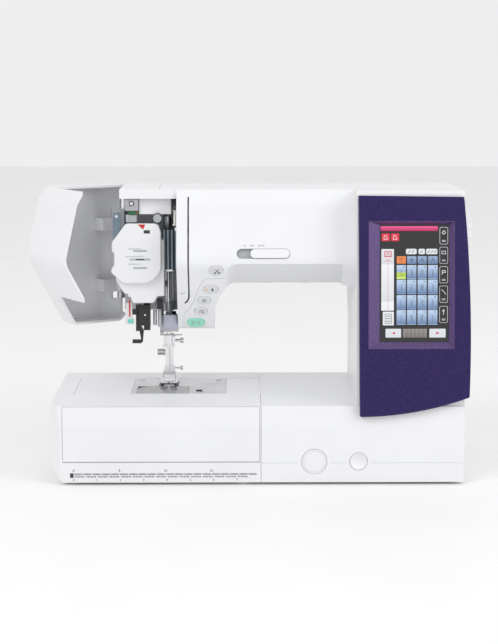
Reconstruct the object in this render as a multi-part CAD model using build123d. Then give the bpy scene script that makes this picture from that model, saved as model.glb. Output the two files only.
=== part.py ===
"""Household sewing and embroidery machine with a tall touch screen, as an assembly of separate pieces.

Millimetres. X runs from the head (left) to the hand wheel (right), Y from the user to the back, Z up.
The origin is the middle of the base, on the table that the rubber feet stand on.
Every function returns one sub-part as one or more closed solids.
"""

import math
import os

from build123d import *

# ---------------------------------------------------------------- driving dimensions
# Base and bed
base_width = 453.0
base_depth = 190.0
bed_height = 90.0  # needle plate above the table
foot_height = 4.0
band_height = 24.5  # top of the base band, where the lower casing starts
wall = 3.0  # moulded casings
gap = 0.4  # running gap between a moving cover and its neighbour

# Arm, head and column
arm_top = 318.0
arm_underside = 213.0
head_bottom = 160.0
seam_x = -87.0  # where the swinging face cover meets the fixed casing
cap_left = -150.0  # left end of the fixed top cap and back of the head
column_left = 109.2
head_right = -46.0
shell_split_y = 5.0  # front and back casings meet here
column_split_x = 205.0  # the right side cover starts here

# Face cover
cover_left = -179.2
cover_wall = 2.6
cover_open_deg = 57.0
hinge_x, hinge_y = -156.0, 49.0
hinge_pin_r = 2.0
hinge_ears = ((186.0, 193.4), (279.6, 287.0))
head_back_y = 56.0  # front of the frame's back plate in the head

# Extension table and free arm
table_right = 5.0
table_wall = 2.6
free_arm_left = -203.0
free_arm_front, free_arm_rear = -40.5, 50.0
free_arm_bottom = 40.0

# Sewing point
needle_x, needle_y = -99.0, 15.0
needle_bar_r = 3.6
needle_stroke = 33.0
zigzag_half = 3.5
presser_bar_y = 31.0
presser_bar_r = 3.4

# Screen panel
panel_thick = 10.0
panel_foot_y, panel_foot_z = -102.0, 74.0
panel_head_y, panel_head_z = -72.0, 315.0
screen_w, screen_h = 75.0, 127.0
bezel_w, bezel_h = 93.0, 138.0

# Drive train
upper_shaft_z, upper_shaft_y = 258.0, 40.0
shaft_r = 5.0
lower_shaft_y, lower_shaft_z = 10.0, 58.0
hook_x, hook_y, hook_r = -103.0, -9.0, 22.0
wheel_r = 31.0
crank_r = 14.0
pulley_r = 16.0
belt_thick = 1.6
motor_y, motor_z, motor_r = 4.0, 150.0, 26.0
motor_shaft_r, motor_pulley_r = 3.0, 7.0
upper_bearings = (-50.0, 120.0)
lower_bearings = (-70.0, 100.0)
frame_bed_front, frame_bed_top = 25.0, 56.0

# Lid, thread compartment and carrying handle
lid_left, lid_right = -107.0, 196.0
lid_front, lid_rear = -27.0, 60.0
lid_thick, lid_pin_r = 3.0, 1.0
tray_left, tray_floor, tray_wall = -84.0, 290.0, 2.0
spool_x0, spool_x1, spool_y, spool_z, spool_r = 40.0, 105.0, 18.0, 303.0, 2.6
winder_x, winder_y, winder_r = 160.0, 20.0, 3.0
handle_x0, handle_x1, handle_z, handle_drop = -30.0, 80.0, 300.0, 38.0
handle_clear, handle_thick, handle_pin_r = 6.0, 8.0, 2.4

# Levers and small fits
lever_pivot_y, lever_pivot_z = 44.0, 166.0
lever_x0, lever_x1, lever_pin_r = -98.0, -91.5, 2.0
take_up_x, take_up_y, take_up_z = -88.8, 30.0, 246.0
foot_pin_y, foot_pin_z, foot_pin_r = 26.0, 101.4, 1.05
needle_shank_r = 1.0
feed_rows = [  # x, width, front, back
    (-108.4, 2.4, 6.0, 28.0),
    (-99.0, 2.4, 20.0, 28.0),
    (-89.6, 2.4, 6.0, 28.0),
]
feed_stroke = 2.5
bobbin_floor = 76.5

# Front plugs and side fittings
cap_x, cap_z, cap_r = 63.3, 26.2, 13.6
plug_x, plug_z, plug_r = 111.5, 26.2, 9.6
port_depth = 8.6
inlet_y, inlet_z = 62.0, 48.0
switch_y = 36.0
dial_y, dial_z, dial_r = 8.0, 52.0, 9.0
usb_y, usb_z = -20.0, 60.0
jack_y = -42.0

# Keys on the head (x, z, width, height), speed slider and thread slot
keys = {
    "thread_cutter_key": (-43.7, 230.5, 15.8, 13.0),
    "needle_position_key": (-49.6, 208.5, 16.5, 11.0),
    "auto_lock_key": (-57.1, 195.0, 14.8, 10.6),
    "reverse_key": (-61.1, 181.6, 14.6, 10.6),
    "start_stop_key": (-66.8, 167.6, 20.0, 12.0),
}
key_depth, key_proud = 6.0, 0.9
slider_x, slider_z, slider_w, slider_h = 8.1, 249.5, 58.4, 11.0
slider_knob_w = 43.0
thread_slot_x, thread_slot_w = -74.0, 1.8

# ---------------------------------------------------------------- derived places
base_left, base_right = -base_width / 2, base_width / 2
base_front, base_rear = -base_depth / 2, base_depth / 2
plate_size_x, plate_size_y = 107.0, 85.0
plate_x0, plate_y0 = -140.0, free_arm_front + 2.4
plate_thick = 2.0

# Side profile of the arm and head, (y, z): top edge, brow, chest, chin, heel, back
brow = (-43.0, 304.0)
chest = (-59.0, 240.0)
chin = (-14.0, head_bottom)
top_front_y, top_rear_y = -33.0, 66.0
arm_back_y = 76.0

panel_tilt = math.degrees(math.atan2(panel_head_y - panel_foot_y, panel_head_z - panel_foot_z))
slope_down = math.degrees(math.atan2(chin[0] - chest[0], chest[1] - chin[1]))
slope_up = math.degrees(math.atan2(brow[0] - chest[0], brow[1] - chest[1]))

handle_back = arm_back_y - 13.5
handle_pivot_y = arm_back_y - 6.5
switch_axis_x = base_right - 3.5
foot_r = 8.5
tongue_top = 12.0
feet = [(-178.0, -24.0), (-178.0, 34.0), (0.0, 0.0)] + [(x, y) for x in (24.0, 208.0) for y in (-76.0, 76.0)]
door_bottom, door_top, door_depth, door_pin_r = band_height + 1.2, 86.4, 4.5, 0.9
door_left, door_right = base_left + 16.0, table_right - 1.5
door_axis_y, door_axis_z = base_front + table_wall / 2, door_bottom + table_wall / 2
cover_x0, cover_x1 = -133.5, -75.5
cover_y0, cover_y1 = plate_y0 + 0.3, 2.6
bezel_x, bezel_z = 167.3, 218.4
screen_x, screen_z = 170.8, 220.2
screen_depth = 5.0


# ---------------------------------------------------------------- helpers
def block(x0, x1, y0, y1, z0, z1):
    """Box between two corners."""
    return Pos((x0 + x1) / 2, (y0 + y1) / 2, (z0 + z1) / 2) * Box(x1 - x0, y1 - y0, z1 - z0)


def rod_x(radius, x0, x1, y, z):
    return Pos((x0 + x1) / 2, y, z) * Rot(0, 90, 0) * Cylinder(radius, x1 - x0)


def rod_y(radius, y0, y1, x, z):
    return Pos(x, (y0 + y1) / 2, z) * Rot(90, 0, 0) * Cylinder(radius, y1 - y0)


def rod_z(radius, z0, z1, x, y):
    return Pos(x, y, (z0 + z1) / 2) * Cylinder(radius, z1 - z0)


def outline(points, radii=0.0):
    """Closed flat face from corner points, each corner rounded by its radius."""
    if radii == 0.0:
        return make_face(Polyline(*points, close=True))
    if isinstance(radii, (int, float)):
        radii = [radii] * len(points)
    return make_face(FilletPolyline(*points, radius=radii, close=True))


def along_x(points, x0, x1, radii=0.0):
    """Prism with a (y, z) outline, from x0 to x1."""
    return Pos(x0, 0, 0) * extrude(Plane.YZ * outline(points, radii), amount=x1 - x0)


def along_y(points, y0, y1, radii=0.0):
    """Prism with an (x, z) outline, from y0 to y1."""
    return Pos(0, y1, 0) * extrude(Plane.XZ * outline(points, radii), amount=y1 - y0)


def along_z(points, z0, z1, radii=0.0):
    """Prism with an (x, y) outline, from z0 to z1."""
    return Pos(0, 0, z0) * extrude(outline(points, radii), amount=z1 - z0)


def bar_between(a, b, radius):
    """Round bar between two points."""
    start, end = Vector(*a), Vector(*b)
    axis = Plane(origin=start, z_dir=(end - start).normalized())
    return axis * Pos(0, 0, (end - start).length / 2) * Cylinder(radius, (end - start).length)


def on_slope(x, z, up=False):
    """Plane on the front of the head at that place: local X is right, local Z points out of the casing."""
    low, high = (chest, brow) if up else (chin, chest)
    share = (z - low[1]) / (high[1] - low[1])
    y = low[0] + share * (high[0] - low[0])
    run, rise = high[0] - low[0], high[1] - low[1]
    length = math.hypot(run, rise)
    return Plane(origin=(x, y, z), x_dir=(1, 0, 0), z_dir=(0, -rise / length, run / length))


def on_panel(x, z):
    """Plane on the front of the screen panel: local X is right, local Z points out."""
    tilt = math.radians(panel_tilt)
    y = panel_foot_y + (z - panel_foot_z) * math.tan(tilt)
    return Plane(origin=(x, y, z), x_dir=(1, 0, 0), z_dir=(0, -math.cos(tilt), math.sin(tilt)))


def column_face_y(z):
    """Front of the column, which the screen panel lies against."""
    tilt = math.radians(panel_tilt)
    return panel_foot_y + panel_thick / math.cos(tilt) + (z - panel_foot_z) * math.tan(tilt)


# ---------------------------------------------------------------- casings
def side_profile(inset):
    """Arm and head seen from the side, drawn in by the wall thickness."""
    steep = inset / math.cos(math.radians(slope_down))
    return [
        (top_front_y + inset * 0.5, arm_top - inset),
        (brow[0] + inset, brow[1] - inset * 0.5),
        (chest[0] + inset * 1.05, chest[1]),
        (chin[0] + steep - inset * 0.56, chin[1] + inset),
        (46.0 - inset * 0.4, head_bottom + inset),
        (arm_back_y - 5.0 - inset, head_bottom + 25.0),
        (arm_back_y - inset, brow[1] - 4.0),
        (top_rear_y - inset * 0.5, arm_top - inset),
    ]


def upper_block(inset, x0, x1):
    radii = [4, 8, 22, 3, 10, 30, 10, 4] if inset == 0 else [2, 5, 19, 1, 7, 27, 7, 2]
    return along_x(side_profile(inset), x0, x1, radii)


def column_block(inset):
    """Column under and behind the screen panel, with its back inner corner well rounded."""
    front_low, front_high = column_face_y(band_height + 40), column_face_y(arm_top)
    side = along_x(
        [
            (front_low + inset, band_height + 40),
            (front_high + inset, arm_top - inset),
            (top_rear_y - inset, arm_top - inset),
            (arm_back_y + 6 - inset, brow[1] - 4.0),
            (base_rear - 6 - inset, band_height + 40),
        ],
        column_left + inset,
        base_right - inset,
        [0, max(6 - inset, 1), 4, 9, 0],
    )
    left, right = column_left + inset, base_right - inset
    front, rear = base_front - 10 + inset, base_rear - inset
    plan = along_z(
        [(left, front), (right, front), (right, rear), (left, rear)],
        band_height,
        arm_top,
        [0.5, 0.5, 14 - inset, 46 - inset],
    )
    return side & plan


def lower_profile(inset):
    """Bed, front panel and back of the base, seen from the side."""
    front, rear = base_front + inset, base_rear - inset
    top = bed_height - inset
    return [
        (front, band_height),
        (front, 65.5),
        (front + 3.0, top - 2.8),
        (free_arm_front, top),
        (rear - 8, top),
        (rear, top - 10),
        (rear, band_height),
    ]


def lower_block(inset, x0, x1):
    radii = [0, 10, 2, 20, 6, 6, 0] if inset == 0 else [0, 8, 1, 17, 4, 4, 0]
    return along_x(lower_profile(inset), x0, x1, radii)


def arch_cut(grow=0.0):
    """The open space between head, arm, column and bed, drawn outwards by a wall when it bounds the hollow."""
    left, right, top = head_right - grow, column_left + grow, arm_underside + grow
    profile = Plane.XZ * make_face(
        Polyline((left, head_bottom - 90), (left, head_bottom + 12))
        + ThreePointArc(
            (left, head_bottom + 12), (-43.2 - 0.95 * grow, 191.0 + 0.3 * grow), (-34.5 - 0.7 * grow, 207.5 + 0.7 * grow)
        )
        + ThreePointArc(
            (-34.5 - 0.7 * grow, 207.5 + 0.7 * grow), (-30.0 - 0.35 * grow, 211.6 + 0.93 * grow), (-24.0, top)
        )
        + FilletPolyline((-24.0, top), (right, top), (right, head_bottom - 90), radius=7 + grow)
        + Line((right, head_bottom - 90), (left, head_bottom - 90))
    )
    through = Pos(0, base_rear + 20, 0) * extrude(profile, amount=base_depth + 60)
    return through & block(left - 1, right + 1, -200, 200, bed_height, arm_top)


def flare_cut(grow=0.0):
    """Bevel under the arm: the arch widens towards the user."""
    start_y, end_y = -21.0, -70.0
    rise = (start_y - end_y) * math.tan(math.radians(35))
    bottom = head_bottom - 10

    def ring(y, spread):
        left = head_right - grow - spread * 0.12
        top = arm_underside + spread + 1.25 * grow
        right = column_left - 14.0 + grow
        corners = [(left, bottom), (left, 178.0), (-24.0 - 0.4 * grow - spread * 0.3, top), (right, top), (right, bottom)]
        return Plane.XZ.offset(-y) * outline(corners, [0.5, 30, 15, 2, 0.5])

    return loft([ring(start_y + grow, 0.0), ring(end_y, rise + grow * 0.7)])


def casing_solid():
    """Arm, head, column and lower right body as one closed form."""
    body = upper_block(0, cap_left, base_right)
    body = body + column_block(0) + lower_block(0, table_right + gap, base_right)
    return body - arch_cut() - flare_cut()


def casing_hollow():
    """The space inside the casings, a wall thickness smaller."""
    arm = upper_block(wall, cap_left - 1, base_right - wall)
    arm = arm - arch_cut(wall) - flare_cut(wall)
    lower = lower_block(wall, table_right + gap + wall, base_right - wall)
    return arm + column_block(wall) + lower


def head_window():
    """What the swinging face cover uncovers: everything left of the seam but the cap and the back."""
    front = block(cap_left - 1, seam_x, base_front, top_front_y, head_bottom - 5, arm_top + 5)
    under = block(cap_left - 1, seam_x, base_front, 58.0, head_bottom - 5, brow[1] + 4)
    return front + under


def lid_opening(grow):
    x0, x1 = lid_left - grow, lid_right + grow
    y0, y1 = lid_front - grow, lid_rear + grow
    return along_z([(x0, y0), (x1, y0), (x1, y1), (x0, y1)], arm_top - wall - 1, arm_top + 1, [12, 12, 1, 1])


def lid_pins(radius, length):
    """Stub pins at the back corners of the lid, or their bores."""
    y, z = lid_rear - lid_thick / 2, arm_top - lid_thick / 2
    left = rod_x(radius, lid_left - length, lid_left + 5, y, z)
    return left + rod_x(radius, lid_right - 5, lid_right + length, y, z)


def slope_pill(x, z, width, height, depth, up=False, lift=0.0):
    """Rounded key form standing on the front of the head."""
    face = SlotOverall(width, height)
    return on_slope(x, z, up) * Pos(0, 0, lift) * extrude(face, amount=depth)


def key_holes():
    cuts = [slope_pill(x, z, w + gap, h + gap, 20, lift=-12) for x, z, w, h in keys.values()]
    return Compound(cuts)


def thread_slot():
    """Slot that the thread is laid through, hooked at its foot."""
    top, foot, hook = arm_top - 8, 200.0, 10.0
    straight = block(
        thread_slot_x - thread_slot_w / 2, thread_slot_x + thread_slot_w / 2, -70, -24, foot, top
    )
    bend = Plane.XZ * make_face(
        CenterArc((thread_slot_x - hook, foot), hook + thread_slot_w / 2, -60, 60)
        + CenterArc((thread_slot_x - hook, foot), hook - thread_slot_w / 2, -60, 60)
        + Line(
            (thread_slot_x + thread_slot_w / 2, foot),
            (thread_slot_x - thread_slot_w / 2, foot),
        )
        + Line(
            (
                thread_slot_x - hook + (hook + thread_slot_w / 2) * math.cos(math.radians(-60)),
                foot + (hook + thread_slot_w / 2) * math.sin(math.radians(-60)),
            ),
            (
                thread_slot_x - hook + (hook - thread_slot_w / 2) * math.cos(math.radians(-60)),
                foot + (hook - thread_slot_w / 2) * math.sin(math.radians(-60)),
            ),
        )
    )
    return straight + Pos(0, -24, 0) * extrude(bend, amount=46)


def front_ports():
    """Round seats in the lower front for the blank cap and the dished plug."""
    y0, y1 = base_front - 1, base_front + port_depth
    return rod_y(cap_r + gap, y0, y1, cap_x, cap_z) + rod_y(plug_r + gap, y0, y1, plug_x, plug_z)


def side_ports():
    """Openings in the right side: hand wheel shaft, power inlet, switch, feed dial, sockets."""
    cuts = [
        rod_x(shaft_r + 1.5, base_right - 8, base_right + 3, upper_shaft_y, upper_shaft_z),
        block(base_right - 8, base_right + 3, inlet_y - 12.2, inlet_y + 12.2, inlet_z - 9.2, inlet_z + 9.2),
        block(base_right - 8, base_right + 3, switch_y - 6.4, switch_y + 6.4, inlet_z - 10.2, inlet_z + 10.2),
        rod_x(dial_r + gap, base_right - 8, base_right + 3, dial_y, dial_z),
        block(base_right - 8, base_right + 3, usb_y - 7.2, usb_y + 7.2, usb_z - 3.6, usb_z + 3.6),
        rod_x(3.2, base_right - 8, base_right + 3, jack_y, usb_z),
    ]
    return Compound(cuts)


def casings():
    """Front casing, back casing and right side cover, cut from one hollow form."""
    shell = casing_solid() - casing_hollow() - head_window()
    shell = shell - lid_opening(gap) - key_holes() - thread_slot()
    shell = shell - slope_pill(slider_x, slider_z, slider_w, slider_h, 12, up=True, lift=-8)
    shell = shell - front_ports() - side_ports() - handle_recess() - lid_pins(lid_pin_r + 0.05, 2.4)
    shell = shell - panel_seat() - lever_notch() - free_arm_mouth()
    front = shell & block(-300, column_split_x, -200, shell_split_y, 0, 400)
    rear = shell & block(-300, column_split_x, shell_split_y, 200, 0, 400)
    side = shell & block(column_split_x, 300, -200, 200, 0, 400)
    return front, rear, side


def handle_recess():
    """Hollow in the back of the arm, open at the top, that the carrying handle folds into."""
    x0, x1 = handle_x0 - handle_clear, handle_x1 + handle_clear
    return block(x0, x1, handle_back, arm_back_y + 20, handle_z - 46, arm_top + 10)


def handle_tray():
    """Lining of the handle's hollow, with the two pivot pins."""
    fit = 0.3
    x0, x1 = handle_x0 - handle_clear + fit, handle_x1 + handle_clear - fit
    z0, z1 = handle_z - 46 + fit, arm_top - 0.4
    tray = block(x0, x1, handle_back + fit, arm_back_y - 0.8, z0, z1)
    tray = tray - block(x0 + 2, x1 - 2, handle_back + fit + 2, arm_back_y + 5, z0 + 2, z1 + 5)
    tray = tray & upper_block(0, x0, x1)
    pins = rod_x(handle_pin_r, x0 + 1, handle_x0 + 3, handle_pivot_y, handle_z)
    return tray + pins + rod_x(handle_pin_r, handle_x1 - 3, x1 - 1, handle_pivot_y, handle_z)


def carrying_handle():
    """Folding grip, hanging flat in its hollow."""
    y0, y1 = handle_pivot_y - handle_thick / 2, handle_pivot_y + handle_thick / 2
    grip_z = handle_z - handle_drop
    top = handle_z + 3.6
    arm = block(handle_x0, handle_x0 + 9, y0, y1, grip_z, top)
    grip = arm + block(handle_x1 - 9, handle_x1, y0, y1, grip_z, top)
    grip = grip + block(handle_x0, handle_x1, y0, y1, grip_z, grip_z + 14)
    grip = fillet(grip.edges().filter_by(Axis.X), 2.5)
    bores = rod_x(handle_pin_r + 0.06, handle_x0 - 1, handle_x0 + 3.5, handle_pivot_y, handle_z)
    return grip - bores - rod_x(handle_pin_r + 0.06, handle_x1 - 3.5, handle_x1 + 1, handle_pivot_y, handle_z)


def cap_front_lip():
    """Short front face of the fixed top cap, over the open head."""
    return block(cap_left, seam_x + 0.5, top_front_y, top_front_y + 2.5, 307.6, arm_top - 1.0)


def panel_seat():
    """Room for the screen panel in the front of the casing."""
    face = on_panel(0, panel_foot_z) * make_face(panel_outline())
    return extrude(face, amount=-(panel_thick - 0.2)) + extrude(face, amount=20)


def lever_notch():
    """Gap in the back of the head for the presser lift lever."""
    return block(lever_x0 - 1.5, lever_x1 + 1.5, 50, 82, head_bottom - 2, 184)


def free_arm_mouth():
    """Opening of the lower casing into the free arm."""
    return along_x(free_arm_outline(table_wall), table_right - 2, table_right + 12, [0.5, 0.5, 8, 8])


def base_tray():
    """Bottom of the machine: a shallow tray with a tongue under the free arm."""
    bottom = foot_height - 1.0
    left = table_right + gap
    tray = block(left, base_right, base_front, base_rear, bottom, band_height)
    tray = tray - block(
        left + wall, base_right - wall, base_front + wall, base_rear - wall, bottom + wall, band_height + 1
    )
    tray = tray + block(free_arm_left + 10, left + 1, free_arm_front + 3, free_arm_rear - 3, bottom, tongue_top)
    for x, radius in ((cap_x, cap_r), (plug_x, plug_r)):
        ring = rod_y(radius + gap + 2, base_front + 0.01, base_front + port_depth + 2, x, cap_z)
        tray = tray + (ring & block(left, base_right, base_front, 0, bottom, band_height))
    return tray - front_ports()


def rubber_feet():
    """Pads under the base, as separate solids."""
    pads = []
    for x, y in feet:
        pad = rod_z(foot_r, 0, foot_height - 1.0, x, y)
        pads.append(fillet(pad.edges().sort_by(Axis.Z)[0], 0.8))
    return Compound(pads)


# ---------------------------------------------------------------- free arm and extension table
def free_arm_outline(inset):
    """Free arm seen from the side, drawn in by the wall."""
    y0, y1 = free_arm_front + inset, free_arm_rear - inset
    z0, z1 = free_arm_bottom + inset, bed_height - inset
    return [(y0, z1), (y1, z1), (y1, z0), (y0, z0)]


def free_arm_casing():
    """Hollow sleeve arm that carries the needle plate."""
    x0, x1 = free_arm_left, table_right + gap - 0.1
    outer = along_x(free_arm_outline(0), x0, x1, [0.8, 0.8, 10, 10])
    shell = outer - along_x(free_arm_outline(table_wall), x0 + table_wall, x1 + 1, [0.5, 0.5, 8, 8])
    y0, x_plate = plate_y0, plate_x0
    return shell - block(
        x_plate, x_plate + plate_size_x, y0, y0 + plate_size_y, bed_height - 8, bed_height + 1
    )


def table_outer(inset, bottom, top):
    """Outside of the extension table: bevelled left corners, same front as the lower casing."""
    chamfer_w = 13.0
    left = base_left + inset
    cut = chamfer_w - inset * 0.4
    front, rear = base_front + inset, base_rear - inset
    plan = along_z(
        [
            (left, front + cut),
            (left + cut, front),
            (table_right, front),
            (table_right, rear),
            (left + cut, rear),
            (left, rear - cut),
        ],
        bottom,
        top,
    )
    profile = [
        (front, bottom),
        (front, 65.5),
        (front + 3.0, bed_height - inset - 2.8),
        (free_arm_front, bed_height - inset),
        (rear - 8, bed_height - inset),
        (rear, bed_height - inset - 10),
        (rear, bottom),
    ]
    form = plan & along_x(profile, left, table_right, [0, 10, 2, 20, 6, 6, 0])
    skirt = along_y(
        [
            (left + 2.6, top + 1),
            (left + 0.6, 62.0),
            (left + 1.6, 34.0),
            (left + 4.4, 15.0),
            (left + 15, bottom),
            (table_right + 1, bottom),
            (table_right + 1, top + 1),
        ],
        base_front - 1,
        base_rear + 1,
    )
    return form & skirt


def table_arm_channel(clear):
    """Space that the free arm and the base tongue take out of the extension table."""
    return block(
        free_arm_left - clear,
        table_right + 1,
        free_arm_front - clear,
        free_arm_rear + clear,
        0,
        bed_height + 5,
    )


def door_block(clear):
    x0, x1 = door_left - clear, door_right + clear
    y0, y1 = base_front - 5, base_front + door_depth
    return block(x0, x1, y0, y1, door_bottom - clear, door_top + clear)


def door_pins(radius):
    """Stub pins at the two lower ends of the door, or their bores."""
    left = rod_x(radius, door_left - 2.2, door_left + 5, door_axis_y, door_axis_z)
    return left + rod_x(radius, door_right - 5, door_right + 1.3, door_axis_y, door_axis_z)


def extension_table_body():
    """U-shaped storage table around the free arm, open in front where the door closes it."""
    bottom = foot_height - 1.0
    outer = table_outer(0, bottom, bed_height + 1)
    inner = table_outer(table_wall, bottom + table_wall, bed_height)
    inner = inner - table_arm_channel(gap + table_wall)
    inner = inner - block(table_right - table_wall, table_right + 1, -200, 200, 0, 200)
    body = outer - inner - table_arm_channel(gap) - door_block(gap) - door_pins(door_pin_r + 0.05)
    for x, y in ((-202.0, -70.0), (-202.0, 70.0), (-14.0, -82.0), (-14.0, 82.0)):
        body = body + rod_z(6, 0, bottom + 0.5, x, y)
    return body


def extension_table_door():
    """Drop front of the storage table, turning on pins in its rounded lower edge."""
    skin = table_outer(0, foot_height, bed_height + 1) - table_outer(table_wall, 0, bed_height + 1)
    door = (skin & door_block(0)) - block(-300, 300, -200, 0, 0, door_axis_z)
    return door + rod_x(table_wall / 2, door_left, door_right, door_axis_y, door_axis_z) + door_pins(door_pin_r)


# ---------------------------------------------------------------- needle plate and bobbin
def needle_plate():
    """Metal plate with the needle slot, the feed dog slots and the notch for the hook cover."""
    x0, x1 = plate_x0 + 0.2, plate_x0 + plate_size_x - 0.2
    y0, y1 = plate_y0 + 0.2, plate_y0 + plate_size_y - 0.2
    plate = block(x0, x1, y0, y1, bed_height - plate_thick, bed_height)
    plate = plate - block(cover_x0 - 0.3, cover_x1 + 0.3, y0 - 1, cover_y1 + 0.3, 0, 100)
    slot = SlotOverall(2 * zigzag_half + 2.6, 2.2)
    plate = plate - Pos(needle_x, needle_y, bed_height) * extrude(slot, amount=10, both=True)
    side, end = 0.6, feed_stroke + 0.5
    for x, w, r0, r1 in feed_rows:
        plate = plate - block(x - w / 2 - side, x + w / 2 + side, r0 - end, r1 + end, 0, 100)
    plate = plate - rod_z(1.6, 0, 100, x1 - 9, y1 - 9) - rod_z(1.6, 0, 100, x0 + 9, y1 - 9)
    return Compound([plate] + plate_screws())


def plate_screws():
    """Two slotted screws that hold the needle plate."""
    x0, x1 = plate_x0 + 0.2, plate_x0 + plate_size_x - 0.2
    y = plate_y0 + plate_size_y - 9.2
    screws = []
    for x in (x0 + 9, x1 - 9):
        screw = rod_z(3.2, bed_height, bed_height + 0.8, x, y) + rod_z(1.5, bed_height - 8, bed_height, x, y)
        screws.append(screw - block(x - 4, x + 4, y - 0.3, y + 0.3, bed_height + 0.4, bed_height + 2))
    return screws


def hook_cover():
    """Clear cover over the bobbin, with its curved left end."""
    x0, x1, y0, y1 = cover_x0, cover_x1, cover_y0, cover_y1
    return along_z(
        [(x0, y0), (x1, y0), (x1, y1), (x0, y1)], bed_height - plate_thick, bed_height, [2, 0.5, 0.5, 16]
    )


def hook_cover_latch():
    """Small slide at the right of the hook cover that frees it."""
    x, y = cover_x1 + 12.0, plate_y0 + 16.0
    return block(x - 3.5, x + 3.5, y - 1.5, y + 1.5, bed_height, bed_height + 1.0)


def bed_bracket():
    """Casting under the needle plate that carries the plate and the seat of the hook's shaft."""
    x0, x1 = plate_x0 + 2, plate_x0 + plate_size_x - 2
    y0, y1 = plate_y0 + 4, plate_y0 + plate_size_y - 0.2
    top = bed_height - plate_thick
    ring = block(x0, x1, y1 - 16, y1 - 2, 70.0, top)
    ring = ring - block(-116, -82, 0, 41.0, 60, 100)
    for x in (plate_x0 + 9.2, plate_x0 + plate_size_x - 9.2):
        ring = ring - rod_z(1.55, 60, 100, x, y1 - 9)
    for left in (x0, x1 - 10):
        leg = block(left, left + 10, y1 - 16, y1 - 4.7, frame_bed_top, 70)
        ring = ring + (leg - rod_z(1.55, 60, 100, left + 5, y1 - 9))
    rails = block(x1 - 10, x1, y0, y1 - 16, 80, top) + block(x0, x0 + 4, y0, y1 - 16, 80, top)
    return Compound([ring + rails, hook_seat()])


def rotary_hook():
    """Cup that turns round the bobbin case, with its shaft and pinion."""
    cup = rod_z(hook_r, 72.5, 82.0, hook_x, hook_y) - rod_z(hook_r - 2.2, 74.5, 90, hook_x, hook_y)
    shaft = rod_z(3.5, 44.5, 72.6, hook_x, hook_y)
    pinion = rod_z(5.5, lower_shaft_z - 6, lower_shaft_z + 6, hook_x, hook_y)
    notch = block(hook_x + 2, hook_x + 9, hook_y + hook_r - 5, hook_y + hook_r + 2, 78.5, 90)
    return cup + shaft + pinion - notch


def hook_seat():
    """Bush of the hook's shaft, on an arm that reaches round the gear to the frame."""
    bush = rod_z(8.0, 44.0, 50.0, hook_x, hook_y)
    arm = block(hook_x - 20, hook_x, hook_y - 4, hook_y + 4, 44.0, 50.0)
    arm = arm + block(hook_x - 20, hook_x - 12, hook_y - 4, frame_bed_front, 44.0, 50.0)
    return bush + arm - rod_z(3.55, 40, 60, hook_x, hook_y)


def bobbin_holder():
    """Still basket inside the hook."""
    r = hook_r - 2.6
    return rod_z(r, 75.0, 82.6, hook_x, hook_y) - rod_z(r - 1.6, bobbin_floor, 90, hook_x, hook_y)


def bobbin():
    """Spool that the lower thread is wound on."""
    z0, z1 = bobbin_floor, bobbin_floor + 9.0
    wound = rod_z(20, z0 + 1, z1 - 1, hook_x, hook_y) - rod_z(4.2, z0 + 1, z1 - 1, hook_x, hook_y)
    return rod_z(10.3, z0, z1, hook_x, hook_y) - wound - rod_z(3.0, 70, 90, hook_x, hook_y)


def feed_dog():
    """Toothed rows on a carrier under the plate."""
    carrier = block(-110.4, -87.6, 5.5, 29.0, 84.6, 86.6)
    carrier = carrier - block(needle_x - 6.5, needle_x + 6.5, needle_y - 4.5, needle_y + 4.5, 80, 90)
    for x, w, r0, r1 in feed_rows:
        row = block(x - w / 2, x + w / 2, r0, r1, 86.6, bed_height + 0.9)
        pitch = 1.6
        count = int((r1 - r0) / pitch)
        for i in range(count):
            y = r0 + i * pitch
            row = row - along_x([(y, 91.2), (y + pitch, 91.2), (y + pitch, 90.1)], x - w, x + w)
        carrier = carrier + row
    return carrier


def feed_lifter():
    """Slide bar that raises and lowers the feed dog."""
    return block(-107, -91, 30.0, 40.7, 62.0, 84.3)


# ---------------------------------------------------------------- frame and drive
def main_frame():
    """Die-cast frame: arm beam, column web, bed beam and head plate in one casting, with its bearings."""
    arm = block(-60, 190, 56.0, 68.0, arm_underside + wall + 3, 240)
    web = block(150, 162, 40, 68, foot_height - 1 + wall, 240) - block(140, 170, 46, 60, 90, 200)
    bed = block(free_arm_left + 10, 180, frame_bed_front, 42.0, 43.6, frame_bed_top)
    head = block(-66, -60, 30, 68, 219.0, 240) + block(-148, -60, head_back_y, 60.0, 182, tray_floor - tray_wall - 0.5)
    frame = arm + web + bed + head
    for x in upper_bearings:
        frame = frame + block(x - 6, x + 6, upper_shaft_y - 11, 68, 234, upper_shaft_z + 11)
    for x in lower_bearings:
        frame = frame + block(x - 5, x + 5, lower_shaft_y - 10, 30, 43.6, lower_shaft_z + 9)
    frame = frame - rod_x(shaft_r + 3, -200, 300, upper_shaft_y, upper_shaft_z)
    frame = frame - rod_x(shaft_r + 3, -200, 300, lower_shaft_y, lower_shaft_z)
    return Compound([frame] + shaft_bushes())


def shaft_bushes():
    """Plain bearings in the frame, two for each shaft."""
    bushes = []
    places = [(x, 6, upper_shaft_y, upper_shaft_z) for x in upper_bearings]
    places += [(x, 5, lower_shaft_y, lower_shaft_z) for x in lower_bearings]
    for x, half, y, z in places:
        outer = rod_x(shaft_r + 3, x - half, x + half, y, z)
        bushes.append(outer - rod_x(shaft_r + 0.05, x - half - 1, x + half + 1, y, z))
    return bushes


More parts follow.
